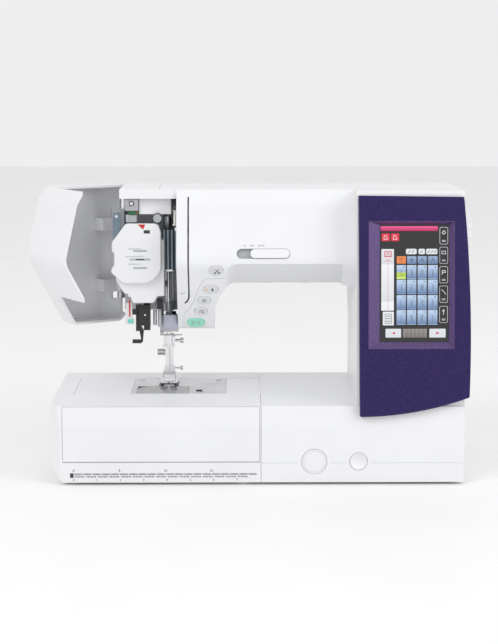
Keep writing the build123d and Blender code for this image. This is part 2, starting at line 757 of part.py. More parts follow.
def upper_shaft():
    """Main shaft with the crank at the head and the belt pulleys in the column."""
    shaft = rod_x(shaft_r, -82, base_right + 4, upper_shaft_y, upper_shaft_z)
    crank = rod_x(crank_r, -84, -76, upper_shaft_y, upper_shaft_z)
    crank = crank - block(-85, -75, upper_shaft_y - 20, upper_shaft_y + 20, upper_shaft_z + 5, upper_shaft_z + 20)
    pulley = rod_x(pulley_r, 172, 184, upper_shaft_y, upper_shaft_z)
    return shaft + crank + pulley + rod_x(pulley_r, 188, 198, upper_shaft_y, upper_shaft_z)


def hand_wheel():
    """Ribbed wheel at the right end of the main shaft."""
    x0 = base_right + 1.2
    wheel = rod_x(wheel_r, x0, x0 + 18, upper_shaft_y, upper_shaft_z)
    wheel = fillet(wheel.edges(), 3.0)
    dish = rod_x(wheel_r - 8, x0 + 13, x0 + 20, upper_shaft_y, upper_shaft_z)
    wheel = wheel - dish
    for i in range(18):
        turn = 2 * math.pi * i / 18
        y = upper_shaft_y + (wheel_r + 0.6) * math.cos(turn)
        z = upper_shaft_z + (wheel_r + 0.6) * math.sin(turn)
        wheel = wheel - rod_x(2.2, x0 + 3, x0 + 20, y, z)
    return wheel - rod_x(shaft_r, x0 - 1, base_right + 4, upper_shaft_y, upper_shaft_z)


def belt_loop(y0, z0, r0, y1, z1, r1, x0, x1):
    """Flat belt round two pulleys."""
    def hull(extra):
        a, b = (y0, z0, r0 + extra), (y1, z1, r1 + extra)
        distance = math.hypot(b[0] - a[0], b[1] - a[1])
        along = math.atan2(b[1] - a[1], b[0] - a[0])
        lean = math.acos((a[2] - b[2]) / distance)
        corners = []
        for (cy, cz, r), sign in ((a, 1), (b, 1), (b, -1), (a, -1)):
            angle = along + sign * lean
            corners.append((cy + r * math.cos(angle), cz + r * math.sin(angle)))
        form = along_x(corners, x0, x1)
        return form + rod_x(a[2], x0, x1, y0, z0) + rod_x(b[2], x0, x1, y1, z1)
    return hull(belt_thick + 0.3) - hull(0.3)


def drive_belts():
    """Belt from the motor to the main shaft, and belt from there down to the hook shaft."""
    upper = (upper_shaft_y, upper_shaft_z, pulley_r)
    motor = belt_loop(*upper, motor_y, motor_z, motor_pulley_r, 173, 183)
    return Compound([motor, belt_loop(*upper, lower_shaft_y, lower_shaft_z, pulley_r, 189, 197)])


def main_motor():
    """Motor body on its bracket."""
    body = rod_x(motor_r, 118, 168, motor_y, motor_z)
    body = chamfer(body.edges(), 1.5)
    bracket = block(164.2, 168, motor_y, 40, motor_z - 14, motor_z + 14)
    bracket = bracket + block(150.0, 168, 34, 40, motor_z - 14, motor_z + 14)
    return (body + bracket) - rod_x(motor_shaft_r + 0.05, 150, 170, motor_y, motor_z)


def motor_shaft():
    """Motor shaft with the small belt pulley."""
    shaft = rod_x(motor_shaft_r, 152, 186, motor_y, motor_z)
    return shaft + rod_x(motor_pulley_r, 172, 184, motor_y, motor_z)


def lower_shaft():
    """Hook drive shaft with its gear and belt pulley."""
    shaft = rod_x(shaft_r, -112, 200, lower_shaft_y, lower_shaft_z)
    gear = rod_x(13.0, -108, -98, lower_shaft_y, lower_shaft_z)
    return shaft + gear + rod_x(pulley_r, 188, 198, lower_shaft_y, lower_shaft_z)


def circuit_boards():
    """Control board behind the screen, power board in the base, key board and socket block."""
    depth = panel_thick + wall
    control = on_panel(screen_x, screen_z) * Pos(0, 0, -depth - 8) * Box(76, 140, 1.6)
    for x in (-32, 32):
        for y in (-62, 62):
            spacer = on_panel(screen_x, screen_z) * Pos(x, y, -depth - 3.9) * Cylinder(3, 7.0)
            control = control + spacer
    floor = foot_height - 1 + wall
    power = block(60, 150, -80, -20, 36, 37.6) + block(70, 100, -70, -40, 37.5, 62)
    for x in (66, 144):
        for y in (-74, -26):
            power = power + rod_z(3, floor, 36.1, x, y)
    return Compound([control, power, key_board(), socket_block()])


# ---------------------------------------------------------------- head
def head_plate():
    """Grey mounting plate in the head, with the bearing eyes and pins of the levers and bars."""
    right = seam_x - 1.2
    left = hinge_x + 4.8
    plate = block(left, right, 48.0, 51.0, 172, 300)
    plate = plate - block(-104, -100.5, 40, 60, 232, 292) - block(-97, -93, 40, 60, 236, 288)
    plate = plate + block(-162, left + 3, 14.0, 17.0, 257, 292) + block(left, left + 3, 14.0, 51, 257, 292)
    plate = plate + block(-108, -105.5, 40, 48.1, 170, 296) + block(-91.0, right, 40, 48.1, 174, 296)
    plate = plate + block(-128, -112, 20.0, 48.1, 291, 296)
    for z in (182, 280):
        plate = plate + block(-140, -120, 50.9, head_back_y, z, z + 6)
    return plate + presser_guides() + take_up_pin() + lever_pin() + cap_block()


def needle_frame():
    """Zigzag bracket: two eyes that the needle bar slides in."""
    half = needle_bar_r + 1.8
    bracket = block(needle_x - half, needle_x + half, needle_y + 5.5, needle_y + 9.3, 176, 250)
    for z0, z1 in ((176, 186), (240, 250)):
        bracket = bracket + rod_z(half, z0, z1, needle_x, needle_y)
        bracket = bracket + block(needle_x - half, needle_x + half, needle_y, needle_y + 9.3, z0, z1)
    return bracket - rod_z(needle_bar_r + 0.05, 100, 300, needle_x, needle_y)


def needle_bar():
    """Steel bar with its driving block, and the clamp and thumb screw that hold the needle."""
    bar = rod_z(needle_bar_r, 140.0, 250 + needle_stroke + 1, needle_x, needle_y)
    driver = block(needle_x - 5, needle_x + 5, needle_y - 7, needle_y + 5.2, 222, 232)
    return bar + driver + needle_clamp()


def needle_clamp():
    """Block on the bar's foot with the needle socket, the thread hook and the thumb screw."""
    x, y = needle_x, needle_y
    clamp = rod_z(6.0, 136.0, 149.0, x, y) + block(x - 1, x + 7.2, y - 4, y + 4, 137.0, 146.5)
    clamp = clamp + block(x - 7.5, x + 7.5, y - 7.5, y - 5.5, 134.5, 136.6)
    clamp = clamp + block(x - 2, x + 2, y - 7.5, y, 134.8, 136.6)
    head = rod_x(3.0, x + 13.0, x + 17.0, y, 141.5)
    screw = rod_x(1.45, x + 4.0, x + 14.0, y, 141.5) + fillet(head.edges(), 0.5)
    return clamp + screw - rod_z(needle_shank_r, 130, 139.9, x, y)


def needle():
    """Shank, blade and point."""
    shank = rod_z(needle_shank_r, 130.0, 139.9, needle_x, needle_y)
    blade = rod_z(0.55, 108.5, 130.0, needle_x, needle_y)
    point = Pos(needle_x, needle_y, 107.0) * Cone(0.12, 0.55, 3.0)
    return shank + blade + point


def face_bracket():
    """Pale metal bracket below the head, in front of the needle bar, with the thread guide wire."""
    front = block(-108.2, -87.4, 1.0, 3.2, 153.8, 173.4)
    side = block(-108.2, -106.4, 1.0, 40.0, 160, 173.4)
    tie = block(-108.2, -105.6, 30.0, 40.0, 166, 173.4)
    groove = block(-108.3, -87.0, 0.8, 1.5, 168.6, 169.4) + block(-108.3, -87.0, 0.8, 1.5, 165.8, 166.6)
    wire = bar_between((-108.0, -1.0, 150.5), (-83.0, -1.0, 150.5), 0.7)
    holder = block(-108, -104, -1.6, 2.1, 149.8, 154.2)
    return front + side + tie - groove + wire + holder


def presser_bar():
    """Bar that carries the foot, with its lifting collar, its spring and the snap-on ankle."""
    bar = rod_z(presser_bar_r, 117.0, 240.0, needle_x, presser_bar_y)
    collar = block(needle_x - 5, needle_x + 5, 26.0, 37.5, 188.0, 196.0)
    spring = rod_z(presser_bar_r + 1.6, 196.0, 214.0, needle_x, presser_bar_y)
    return bar + collar + spring + foot_holder()


def presser_guides():
    """Two eyes on the head plate that the presser bar slides in."""
    eyes = None
    for z0, z1 in ((174.5, 184.0), (226.2, 234.0)):
        eye = rod_z(6.4, z0, z1, needle_x, presser_bar_y)
        eye = eye + block(needle_x - 4.5, needle_x + 4.5, presser_bar_y, 48.5, z0, z1)
        eye = eye - rod_z(presser_bar_r + 0.05, 100, 300, needle_x, presser_bar_y)
        eyes = eye if eyes is None else eyes + eye
    return eyes


def presser_lever():
    """Lift lever behind the foot, turning on a pin in the back of the head."""
    y, z = lever_pivot_y, lever_pivot_z
    hub = rod_x(5.0, lever_x0, lever_x1, y, z)
    arm = along_x(
        [(y - 2, z + 3), (y + 2, z - 3), (y + 34, z - 15), (y + 36, z - 11)],
        lever_x0 + 0.3,
        lever_x1 - 0.3,
        [1, 1, 1.5, 1.5],
    )
    return hub + arm - rod_x(lever_pin_r + 0.05, lever_x0 - 5, lever_x1 + 5, y, z)


def lever_pin():
    """Pin and lug of the presser lift lever."""
    pin = rod_x(lever_pin_r, lever_x0 - 2.0, lever_x1 + 1.0, lever_pivot_y, lever_pivot_z)
    lug = block(lever_x0 - 4.4, lever_x0 - 0.4, lever_pivot_y - 3.6, 48.1, lever_pivot_z - 4, 176.0)
    return pin + lug


def foot_holder():
    """Ankle on the presser bar: groove for the snap-on foot, thumb screw and release knob."""
    x, y = needle_x, presser_bar_y
    shank = block(x - 4.6, x + 4.6, y - 5.5, y + 5.0, 108.0, 137.0)
    fork = block(x - 6.0, x + 6.0, 21.6, 35.0, foot_pin_z - 1.4, 109.0)
    fork = fork - rod_x(foot_pin_r + 0.06, x - 20, x + 20, foot_pin_y, foot_pin_z)
    fork = fork - block(x - 20, x + 20, foot_pin_y - 0.9, foot_pin_y + 0.9, 90, foot_pin_z)
    head = rod_x(3.7, x - 14.0, x - 5.0, y, 125.0)
    head = fillet(head.edges(), 0.5)
    for i in range(12):
        turn = 2 * math.pi * i / 12
        flute_y, flute_z = y + 3.95 * math.cos(turn), 125.0 + 3.95 * math.sin(turn)
        head = head - rod_x(0.6, x - 13.4, x - 5.6, flute_y, flute_z)
    screw = rod_x(1.55, x - 5.6, x - 3.45, y, 125.0) + head
    release = rod_x(0.9, x + 5.0, x + 13.0, 30.0, 106.5) + rod_x(2.4, x + 12.6, x + 15.4, 30.0, 106.5)
    return shank + fork + screw + release


def presser_foot():
    """Zigzag foot: sole with two toes, two cheeks and the cross pin."""
    x = needle_x
    side = [(3.6, 93.6), (6.5, 91.4), (34.0, 91.4), (34.0, 92.9), (8.0, 93.6), (4.6, 95.0)]
    sole = along_x(side, x - 9.6, x + 9.6, [0.3, 1, 0.3, 0.3, 1, 0.3])
    sole = sole - block(x - 5.6, x + 5.6, 9.0, 18.5, 80, 110) - block(x - 1.5, x + 1.5, 0, 12, 80, 110)
    for x0 in (x - 7.6, x + 6.2):
        sole = sole + block(x0, x0 + 1.4, 21.0, 31.0, 92.5, foot_pin_z + 1.8)
    return sole + rod_x(foot_pin_r, x - 7.6, x + 7.6, foot_pin_y, foot_pin_z)


def take_up_lever():
    """Lever that pulls the thread up, pivoting in the head."""
    y, z = take_up_y, take_up_z
    hub = rod_x(5.0, take_up_x - 1.0, take_up_x + 0.9, y, z)
    arm = along_x(
        [(y - 2, z + 3), (y - 54, z + 30), (y - 56.5, z + 26), (y - 4, z - 3)],
        take_up_x - 0.8,
        take_up_x + 0.8,
        [1, 1.5, 1.5, 1],
    )
    return (hub + arm) - rod_x(2.05, -95, -80, y, z) - rod_x(1.0, -95, -80, y - 51.5, z + 26)


def take_up_pin():
    """Pin and lug of the take-up lever."""
    pin = rod_x(2.0, take_up_x - 3.0, take_up_x + 1.8, take_up_y, take_up_z)
    return pin + block(take_up_x - 3.2, take_up_x - 1.4, take_up_y - 3.5, 48.5, take_up_z - 4, take_up_z + 4)


def tension_box():
    """White housing of the thread tension discs, under the cap."""
    box = block(-129.3, -93.2, -25.0, 20.0, 290.0, 307.2)
    return fillet(box.edges().filter_by(Axis.Z), 1.2)


def cap_block():
    """Metal block at the top left of the head with its clamp screw."""
    block_body = block(-146.2, -132.7, -22.0, 10.0, 296.0, 307.4)
    screw = rod_y(3.4, -23.0, -21.9, -139.9, 301.7)
    return block_body + screw + block(-146.2, -132.7, 9.9, 48.1, 296.0, 300.0)


def threader_cover_upper():
    """Upper white cover of the needle threader."""
    plate = along_y(
        [
            (-143.7, 279.9),
            (-108.0, 279.9),
            (-104.8, 270.4),
            (-104.8, 226.0),
            (-118.0, 213.4),
            (-147.5, 213.4),
            (-162.0, 226.5),
            (-157.0, 234.0),
            (-157.0, 247.0),
            (-159.4, 249.0),
            (-159.4, 259.0),
        ],
        -30.0,
        -24.0,
        [6, 6, 6, 16, 18, 5, 5, 2, 1.5, 1.5, 5],
    )
    plate = fillet(plate.faces().sort_by(Axis.Y)[0].edges(), 1.2)
    for z, w in ((251.8, 13.5), (243.2, 21.0), (234.8, 13.5)):
        plate = plate - Pos(-134.0, -29.4, z) * Box(w, 1.4, 1.7)
    return plate


def threader_cover_lower():
    """Lower white cover, set a little further back."""
    plate = along_y(
        [
            (-101.6, 262.0),
            (-101.6, 198.0),
            (-109.5, 198.0),
            (-114.0, 190.3),
            (-137.0, 190.3),
            (-141.0, 200.2),
            (-146.6, 201.0),
            (-156.0, 216.0),
            (-150.0, 262.0),
        ],
        -23.8,
        -12.0,
        [3, 2, 2, 2, 2, 2, 3, 6, 3],
    )
    return fillet(plate.faces().sort_by(Axis.Y)[0].edges(), 1.2)


def threader_frame():
    """Dark bracket that ties the threader unit to the head plate."""
    back = block(-140.0, -118.0, -11.9, -4.0, 200.0, 270.0)
    arms = block(-138.0, -130.0, -4.1, 48.0, 262.0, 270.0) + block(-138.0, -130.0, -4.1, 48.0, 200.0, 206.0)
    rail = block(-126.0, -119.0, -8.0, 0.0, 157.0, 200.1)
    return back + arms + rail


def threader_lever():
    """White finger lever that is pressed down to thread the needle."""
    bar = block(-145.8, -138.8, -11.0, -7.0, 171.0, 188.4)
    tip = block(-146.8, -137.8, -12.0, -6.0, 164.4, 171.1)
    return bar + fillet(tip.edges().filter_by(Axis.Z), 1.5)


def threader_carriage():
    """Black carriage with the swinging hook that goes down with the lever."""
    body = along_y(
        [(-135.0, 185.5), (-129.4, 185.5), (-129.4, 161.0), (-126.4, 156.0), (-135.0, 156.0)], -8.0, 1.0
    )
    spike = along_y([(-131.4, 156.1), (-126.4, 156.1), (-127.6, 143.0), (-129.0, 143.0)], -5.0, -2.0)
    bridge = block(-138.8, -134.9, -10.0, -6.0, 175.0, 181.0) + block(-135.0, -133.0, -10.0, -6.0, 175, 181)
    hook = block(-139.3, -129.0, -6.0, -1.0, 141.6, 145.5)
    return body + spike + bridge + hook


# ---------------------------------------------------------------- face cover, lid and top
def cover_form(inset):
    """Closed outside of the face cover: side profile crossed with the plan outline."""
    left, rear = cover_left + inset, hinge_y + 9.0
    side = upper_block(0, left, seam_x - 0.5)
    if inset > 0:
        side = upper_block(inset, left, seam_x + 5)
    back = rear - inset
    corners = [(left, -75.0), (seam_x + 5, -75.0), (seam_x + 5, back), (hinge_x - 2, back), (left, rear - 18)]
    plan = along_z(corners, head_bottom - 2, arm_top + 1, [26, 0.5, 0.5, 6, 20])
    return side & plan


def face_cover():
    """Swinging shell over the head, drawn closed and then turned open about its hinge."""
    shell = cover_form(0) - cover_form(cover_wall)
    left, right = cap_left - 0.8, seam_x + 6
    keep_out = block(left, right, top_front_y - 0.6, 100, head_bottom - 5, arm_top + 5)
    keep_out = keep_out + block(left, right, -100, 100, head_bottom - 5, head_bottom + 5)
    keep_out = keep_out + block(seam_x - gap, right, -100, 100, head_bottom - 5, arm_top + 5)
    keep_out = keep_out + block(hinge_x - 6, right, hinge_y + 3, 100, head_bottom - 5, arm_top + 5)
    for z0, z1 in hinge_ears:
        keep_out = keep_out + block(hinge_x - 15, right, hinge_y - 9, 100, z0 - 1.5, z1 + 1.5)
    shell = shell - keep_out
    for z0, z1 in ((193.8, 208.0), (265.0, 279.2)):
        eye = rod_z(4.2, z0, z1, hinge_x, hinge_y)
        eye = eye + block(cover_left + cover_wall - 0.5, hinge_x - 1.0, hinge_y - 22, hinge_y - 18.5, z0, z1)
        eye = eye + block(hinge_x - 4.2, hinge_x - 1.0, hinge_y - 22, hinge_y, z0, z1)
        shell = shell + (eye - rod_z(hinge_pin_r + 0.05, z0 - 1, z1 + 1, hinge_x, hinge_y))
    return swing_open(shell)


def swing_open(shape):
    return Pos(hinge_x, hinge_y, 0) * Rot(0, 0, -cover_open_deg) * Pos(-hinge_x, -hinge_y, 0) * shape


def hinge_bracket():
    """Hinge pin of the face cover, held by two ears on the frame's back plate."""
    bracket = rod_z(hinge_pin_r, hinge_ears[0][0], hinge_ears[1][1], hinge_x, hinge_y)
    for z0, z1 in hinge_ears:
        bracket = bracket + rod_z(4.2, z0, z1, hinge_x, hinge_y)
        bracket = bracket + block(hinge_x, -142.0, head_back_y - 4.8, head_back_y, z0, z1)
    return bracket


def top_lid():
    """Lid over the spool compartment, turning on two pins in its rounded back edge."""
    x0, x1, y0, y1 = lid_left, lid_right, lid_front, lid_rear
    half = lid_thick / 2
    plate = along_z([(x0, y0), (x1, y0), (x1, y1), (x0, y1)], arm_top - lid_thick, arm_top, [12, 12, 1, 1])
    roll = rod_x(half, x0 + 5, x1 - 5, y1 - half, arm_top - half)
    plate = plate - block(x0 - 1, x1 + 1, y1 - half, y1 + 1, arm_top - 9, arm_top + 1)
    return plate + roll + lid_pins(lid_pin_r, 2.2)


def compartment_tray():
    """Recess under the lid for the spool pin and the bobbin winder, shallow over the head."""
    x0, x1 = tray_left, lid_right + 2.5
    y0, y1 = lid_front - 1.5, lid_rear + 1.5
    top = arm_top - wall - 0.05
    deep = block(x0, x1, y0, y1, tray_floor - tray_wall, top)
    deep = deep - block(x0 + tray_wall, x1 - tray_wall, y0 + tray_wall, y1 - tray_wall, tray_floor, top + 1)
    shelf = block(lid_left - 2.5, x0 + 0.5, y0, y1, top - 6, top)
    shelf = shelf - block(lid_left - 0.5, x0 + 2.5, y0 + tray_wall, y1 - tray_wall, top - 4, top + 1)
    return deep + shelf - rod_z(winder_r + 0.05, tray_floor - 5, tray_floor + 5, winder_x, winder_y)


def spool_pin():
    """Level pin that the thread spool slides on from the left, with its cap disc."""
    pin = rod_x(spool_r, spool_x0, spool_x1, spool_y, spool_z)
    post = block(spool_x1 - 0.1, spool_x1 + 6, spool_y - 5, spool_y + 5, tray_floor, spool_z + 5)
    disc = rod_x(9.5, spool_x0 + 3, spool_x0 + 6, spool_y, spool_z)
    disc = disc + rod_x(4.5, spool_x0 + 3, spool_x0 + 12, spool_y, spool_z)
    disc = disc - rod_x(spool_r + 0.05, spool_x0 - 5, spool_x1, spool_y, spool_z)
    return Compound([pin + post, disc])


def winder_spindle():
    """Upright spindle that winds a bobbin."""
    shaft = rod_z(winder_r, tray_floor - tray_wall - 0.3, tray_floor + 22, winder_x, winder_y)
    return shaft + rod_z(9.0, tray_floor + 4, tray_floor + 6, winder_x, winder_y)


def winder_stop():
    """Stop that the full bobbin leans on."""
    stop = rod_z(3.5, tray_floor, tray_floor + 16.0, winder_x + 20, winder_y)
    return fillet(stop.edges().sort_by(Axis.Z)[-1], 1.0)


def winder_motor():
    """Small motor under the tray that turns the winder."""
    return rod_z(11.0, tray_floor - 20, tray_floor - tray_wall - 0.3, winder_x, winder_y)


# ---------------------------------------------------------------- screen panel
def panel_outline():
    cos = math.cos(math.radians(panel_tilt))

    def at(x, z):
        return x, (z - panel_foot_z) / cos

    bottom_left, top_left = at(112.2, 76.8), at(110.4, 314.0)
    top_right, bottom_right = at(223.6, 312.5), at(230.4, 97.5)
    return (
        Line(bottom_left, top_left)
        + Line(top_left, top_right)
        + ThreePointArc(top_right, at(231.2, 190.0), bottom_right)
        + ThreePointArc(bottom_right, at(178.0, 83.2), bottom_left)
    )


def display_panel():
    """Coloured panel on the column, with a window for the screen."""
    plane = on_panel(0, panel_foot_z)
    face = plane * make_face(panel_outline())
    slab = extrude(face, amount=-(panel_thick - 0.2))
    slab = fillet(slab.faces().sort_by(Axis.Y)[0].edges(), 2.4)
    window = on_panel(bezel_x, bezel_z) * Box(bezel_w, bezel_h, 40)
    return slab - window


def screen_bezel():
    """Sloped metallic frame from the panel's window down to the screen."""
    outer = on_panel(bezel_x, bezel_z) * Pos(0, 0, -4.4) * Box(bezel_w - 0.2, bezel_h - 0.2, 8.8)
    cos = math.cos(math.radians(panel_tilt))
    dx, dz = screen_x - bezel_x, (screen_z - bezel_z) / cos
    mouth = Pos(0, 0, 0.01) * Rectangle(bezel_w - 1.6, bezel_h - 1.6)
    throat = Pos(dx, dz, -screen_depth) * Rectangle(screen_w, screen_h)
    hole = on_panel(bezel_x, bezel_z) * loft([throat, mouth])
    rest = on_panel(screen_x, screen_z) * Pos(0, 0, -screen_depth - 3) * Box(screen_w, screen_h, 6.02)
    return outer - hole - rest


def touch_screen():
    """Display module, its glass level with the bezel's throat."""
    return on_panel(screen_x, screen_z) * Pos(0, 0, -screen_depth - 2.0) * Box(screen_w - 0.4, screen_h - 0.4, 3.6)


# ---------------------------------------------------------------- small user parts
def key(name):
    x, z, w, h = keys[name]
    cap = slope_pill(x, z, w - 0.2, h - 0.2, key_depth, lift=key_proud - key_depth)
    top = cap.faces().sort_by(Axis((0, 0, 0), on_slope(x, z).z_dir))[-1]
    return fillet(top.edges(), 0.5)


def key_board():
    """Board behind the keys with the switch that each one presses."""
    low, high = chin[1], chest[1]
    stretch = math.hypot(chest[0] - chin[0], high - low) / (high - low)
    corners = [(-78, 164), (-53, 164), (-52, 188), (-42, 215), (-39, 237), (-60, 237), (-72, 214)]
    flat = [(x, (z - 200.0) * stretch) for x, z in corners]
    board = on_slope(0, 200.0) * Pos(0, 0, -12.8) * extrude(outline(flat), amount=1.6)
    for x, z, w, h in keys.values():
        board = board + on_slope(x, z) * Pos(0, 0, -9.6) * Cylinder(2.2, 4.2)
    for x, z in ((-73.0, 180.0), (-67.0, 222.0)):
        board = board + on_slope(x, z) * Pos(0, 0, -7.1) * Cylinder(1.6, 8.2)
    return board


def speed_slider():
    """Sliding speed control, at its fast end."""
    x = slider_x + (slider_w - slider_knob_w) / 2 - 0.4
    knob = slope_pill(x, slider_z, slider_knob_w, slider_h - 1.0, 5.0, up=True, lift=-3.4)
    top = knob.faces().sort_by(Axis((0, 0, 0), on_slope(x, slider_z, True).z_dir))[-1]
    return fillet(top.edges(), 0.6)


def slider_track():
    """Grey track that shows in the slot beside the slider."""
    return on_slope(slider_x, slider_z, True) * Pos(0, 0, -5.6) * Box(slider_w + 8, slider_h + 1, 2.4)


def round_cap():
    """Blank cap in the larger front seat."""
    cap = rod_y(cap_r, base_front - 0.4, base_front + port_depth, cap_x, cap_z)
    ring = rod_y(cap_r - 1.6, base_front - 1, base_front + 0.1, cap_x, cap_z)
    return cap - (ring - rod_y(cap_r - 2.6, base_front - 1, base_front + 0.1, cap_x, cap_z))


def dished_plug():
    """Plug with a finger dish in the smaller front seat."""
    plug = rod_y(plug_r, base_front - 0.2, base_front + port_depth, plug_x, plug_z)
    return plug - Pos(plug_x, base_front - 9.5, plug_z) * Sphere(12.5)


def lamp_lenses():
    """Lamp lenses under the arm."""
    z0, z1 = arm_underside - 1.2, arm_underside
    return Compound([rod_z(5.0, z0, z1, x, -12.0) for x in (12.0, 55.0)])


def power_inlet():
    """Mains socket with its two pins."""
    x1 = base_right - 0.6
    shell = block(base_right - 16, x1, inlet_y - 12, inlet_y + 12, inlet_z - 9, inlet_z + 9)
    shell = shell - block(base_right - 13, x1 + 1, inlet_y - 9, inlet_y + 9, inlet_z - 5, inlet_z + 5)
    for y in (inlet_y - 4, inlet_y + 4):
        shell = shell + rod_x(1.2, base_right - 13.1, base_right - 4, y, inlet_z)
    return shell


def power_switch():
    """Rocker of the mains switch."""
    x0, x1 = base_right - 6, base_right + 0.6
    rocker = block(x0, x1, switch_y - 5, switch_y + 5, inlet_z - 8, inlet_z + 8)
    dip = along_y(
        [(base_right + 0.2, inlet_z), (x1 + 2, inlet_z + 9), (x1 + 2, inlet_z - 9)], switch_y - 6, switch_y + 6
    )
    return rocker - dip - rod_y(1.25, switch_y - 6, switch_y + 6, switch_axis_x, inlet_z)


def switch_frame():
    """Bezel and pivot pin of the mains switch."""
    x1 = base_right
    frame = block(x1 - 14, x1 - 0.4, switch_y - 6.2, switch_y + 6.2, inlet_z - 10, inlet_z + 10)
    frame = frame - block(x1 - 12, x1 + 1, switch_y - 5.3, switch_y + 5.3, inlet_z - 8.8, inlet_z + 8.8)
    return frame + rod_y(1.2, switch_y - 5.4, switch_y + 5.4, switch_axis_x, inlet_z)


def feed_dial():
    """Feed balance dial with a screwdriver slot."""
    dial = rod_x(dial_r, base_right - 6, base_right + 0.6, dial_y, dial_z)
    return dial - block(base_right - 1, base_right + 2, dial_y - 7, dial_y + 7, dial_z - 0.8, dial_z + 0.8)


def socket_block():
    """Data and pedal sockets behind their openings."""
    x0, x1 = base_right - 14, base_right - wall - 0.05
    blk = block(x0, x1, jack_y - 7, usb_y + 10, usb_z - 7, usb_z + 7)
    blk = blk - block(x0 + 2, x1 + 1, usb_y - 6.5, usb_y + 6.5, usb_z - 2.8, usb_z + 2.8)
    tongue = block(x0 + 1, x1 - 1, usb_y - 5, usb_y + 5, usb_z - 0.9, usb_z + 0.9)
    return blk + tongue - rod_x(1.8, x0 + 2, x1 + 1, jack_y, usb_z)


# ---------------------------------------------------------------- export
def parts():
    """All nodes by name."""
    front, rear, side = casings()
    made = {
        "front_casing": front + cap_front_lip(),
        "rear_casing": rear,
        "side_cover": side,
        "base_tray": Compound([base_tray(), round_cap(), dished_plug()]),
        "rubber_feet": rubber_feet(),
        "free_arm_casing": free_arm_casing(),
        "extension_table_body": extension_table_body(),
        "extension_table_door": extension_table_door(),
        "needle_plate": needle_plate(),
        "hook_cover": hook_cover(),
        "hook_cover_latch": hook_cover_latch(),
        "bed_bracket": bed_bracket(),
        "rotary_hook": rotary_hook(),
        "bobbin_holder": bobbin_holder(),
        "bobbin": bobbin(),
        "feed_dog": feed_dog(),
        "feed_lifter": feed_lifter(),
        "main_frame": main_frame(),
        "upper_shaft": upper_shaft(),
        "hand_wheel": hand_wheel(),
        "drive_belts": drive_belts(),
        "main_motor": main_motor(),
        "motor_shaft": motor_shaft(),
        "lower_shaft": lower_shaft(),
        "circuit_boards": circuit_boards(),
        "head_plate": head_plate(),
        "needle_frame": needle_frame(),
        "needle_bar": needle_bar(),
        "needle": needle(),
        "face_bracket": face_bracket(),
        "presser_bar": presser_bar(),
        "presser_lever": presser_lever(),
        "presser_foot": presser_foot(),
        "take_up_lever": take_up_lever(),
        "tension_box": tension_box(),
        "threader_cover": Compound([threader_cover_upper(), threader_cover_lower()]),
        "threader_frame": threader_frame(),
        "threader_lever": threader_lever(),
        "threader_carriage": threader_carriage(),
        "face_cover": face_cover(),
        "face_hinge": hinge_bracket(),
        "top_lid": top_lid(),
        "thread_compartment": compartment_tray(),
        "spool_pin": spool_pin(),
        "bobbin_winder": Compound([winder_motor(), winder_stop()]),
        "winder_spindle": winder_spindle(),
        "carrying_handle": carrying_handle(),
        "handle_tray": Compound([handle_tray(), slider_track()]),
        "display_panel": display_panel(),
        "screen_bezel": screen_bezel(),
        "touch_screen": touch_screen(),
        "speed_slider": speed_slider(),
        "lamp_lenses": lamp_lenses(),
        "power_fittings": Compound([power_inlet(), switch_frame(), feed_dial()]),
        "power_switch": power_switch(),
    }
    for name in keys:
        made[name] = key(name)
    return made


if __name__ == "__main__":
    os.makedirs("parts", exist_ok=True)
    for name, shape in parts().items():
        export_step(shape, f"parts/{name}.step")
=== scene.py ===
# %% [markdown]
# # A computer sewing machine, dressed over its CAD frame
# The CAD model already has every moving part at its real size. Blender's work is the look:
# moulded white plastic, a flaked purple panel, a lit screen and the small metal parts in the head.

# %% Load the frame
import math

import bpy
from mathutils import Matrix, Vector


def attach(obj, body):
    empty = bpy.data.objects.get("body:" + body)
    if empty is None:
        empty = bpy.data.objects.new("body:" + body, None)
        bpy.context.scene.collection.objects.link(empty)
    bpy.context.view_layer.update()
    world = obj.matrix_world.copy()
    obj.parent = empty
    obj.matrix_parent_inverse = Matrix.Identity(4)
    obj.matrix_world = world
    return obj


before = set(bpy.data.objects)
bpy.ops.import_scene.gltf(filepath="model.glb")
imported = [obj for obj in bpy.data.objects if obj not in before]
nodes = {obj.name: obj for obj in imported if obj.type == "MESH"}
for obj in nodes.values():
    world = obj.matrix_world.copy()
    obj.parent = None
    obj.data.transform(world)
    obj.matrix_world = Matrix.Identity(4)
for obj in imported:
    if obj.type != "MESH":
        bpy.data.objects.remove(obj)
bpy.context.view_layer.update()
bpy.ops.object.select_all(action="DESELECT")

# %% [markdown]
# ## Sizes in millimetres
# The machine was drawn in millimetres and Blender works in metres. One factor keeps the numbers
# readable. Every place below is written in the CAD model's own millimetres, measured from the middle
# of the base, so a piece and the part it sits on can be compared number for number.

# %% Millimetres
MM = 0.001

# %% [markdown]
# ## Finishes
# A moulded surface is never one flat colour: it has a fine spark-eroded grain and a faint change of
# tone. Each finish below is a Principled shader with noise on Object coordinates behind its colour,
# its roughness and its bump. Values that are the same everywhere go straight on the shader.

# %% Shader helpers
def new_finish(name):
    """Material with its node tree, its Principled shader and its Object coordinates."""
    material = bpy.data.materials.new(name)
    material.use_nodes = True
    tree = material.node_tree
    shader = tree.nodes["Principled BSDF"]
    place = tree.nodes.new("ShaderNodeTexCoord")
    return material, tree, shader, place.outputs["Object"]


def add_noise(tree, place, scale, detail=3.0, stretch=(1, 1, 1)):
    """Noise texture in object space; stretch squeezes it along an axis."""
    mapping = tree.nodes.new("ShaderNodeMapping")
    mapping.inputs["Scale"].default_value = stretch
    tree.links.new(place, mapping.inputs["Vector"])
    noise = tree.nodes.new("ShaderNodeTexNoise")
    noise.inputs["Scale"].default_value = scale
    noise.inputs["Detail"].default_value = detail
    tree.links.new(mapping.outputs["Vector"], noise.inputs["Vector"])
    return noise


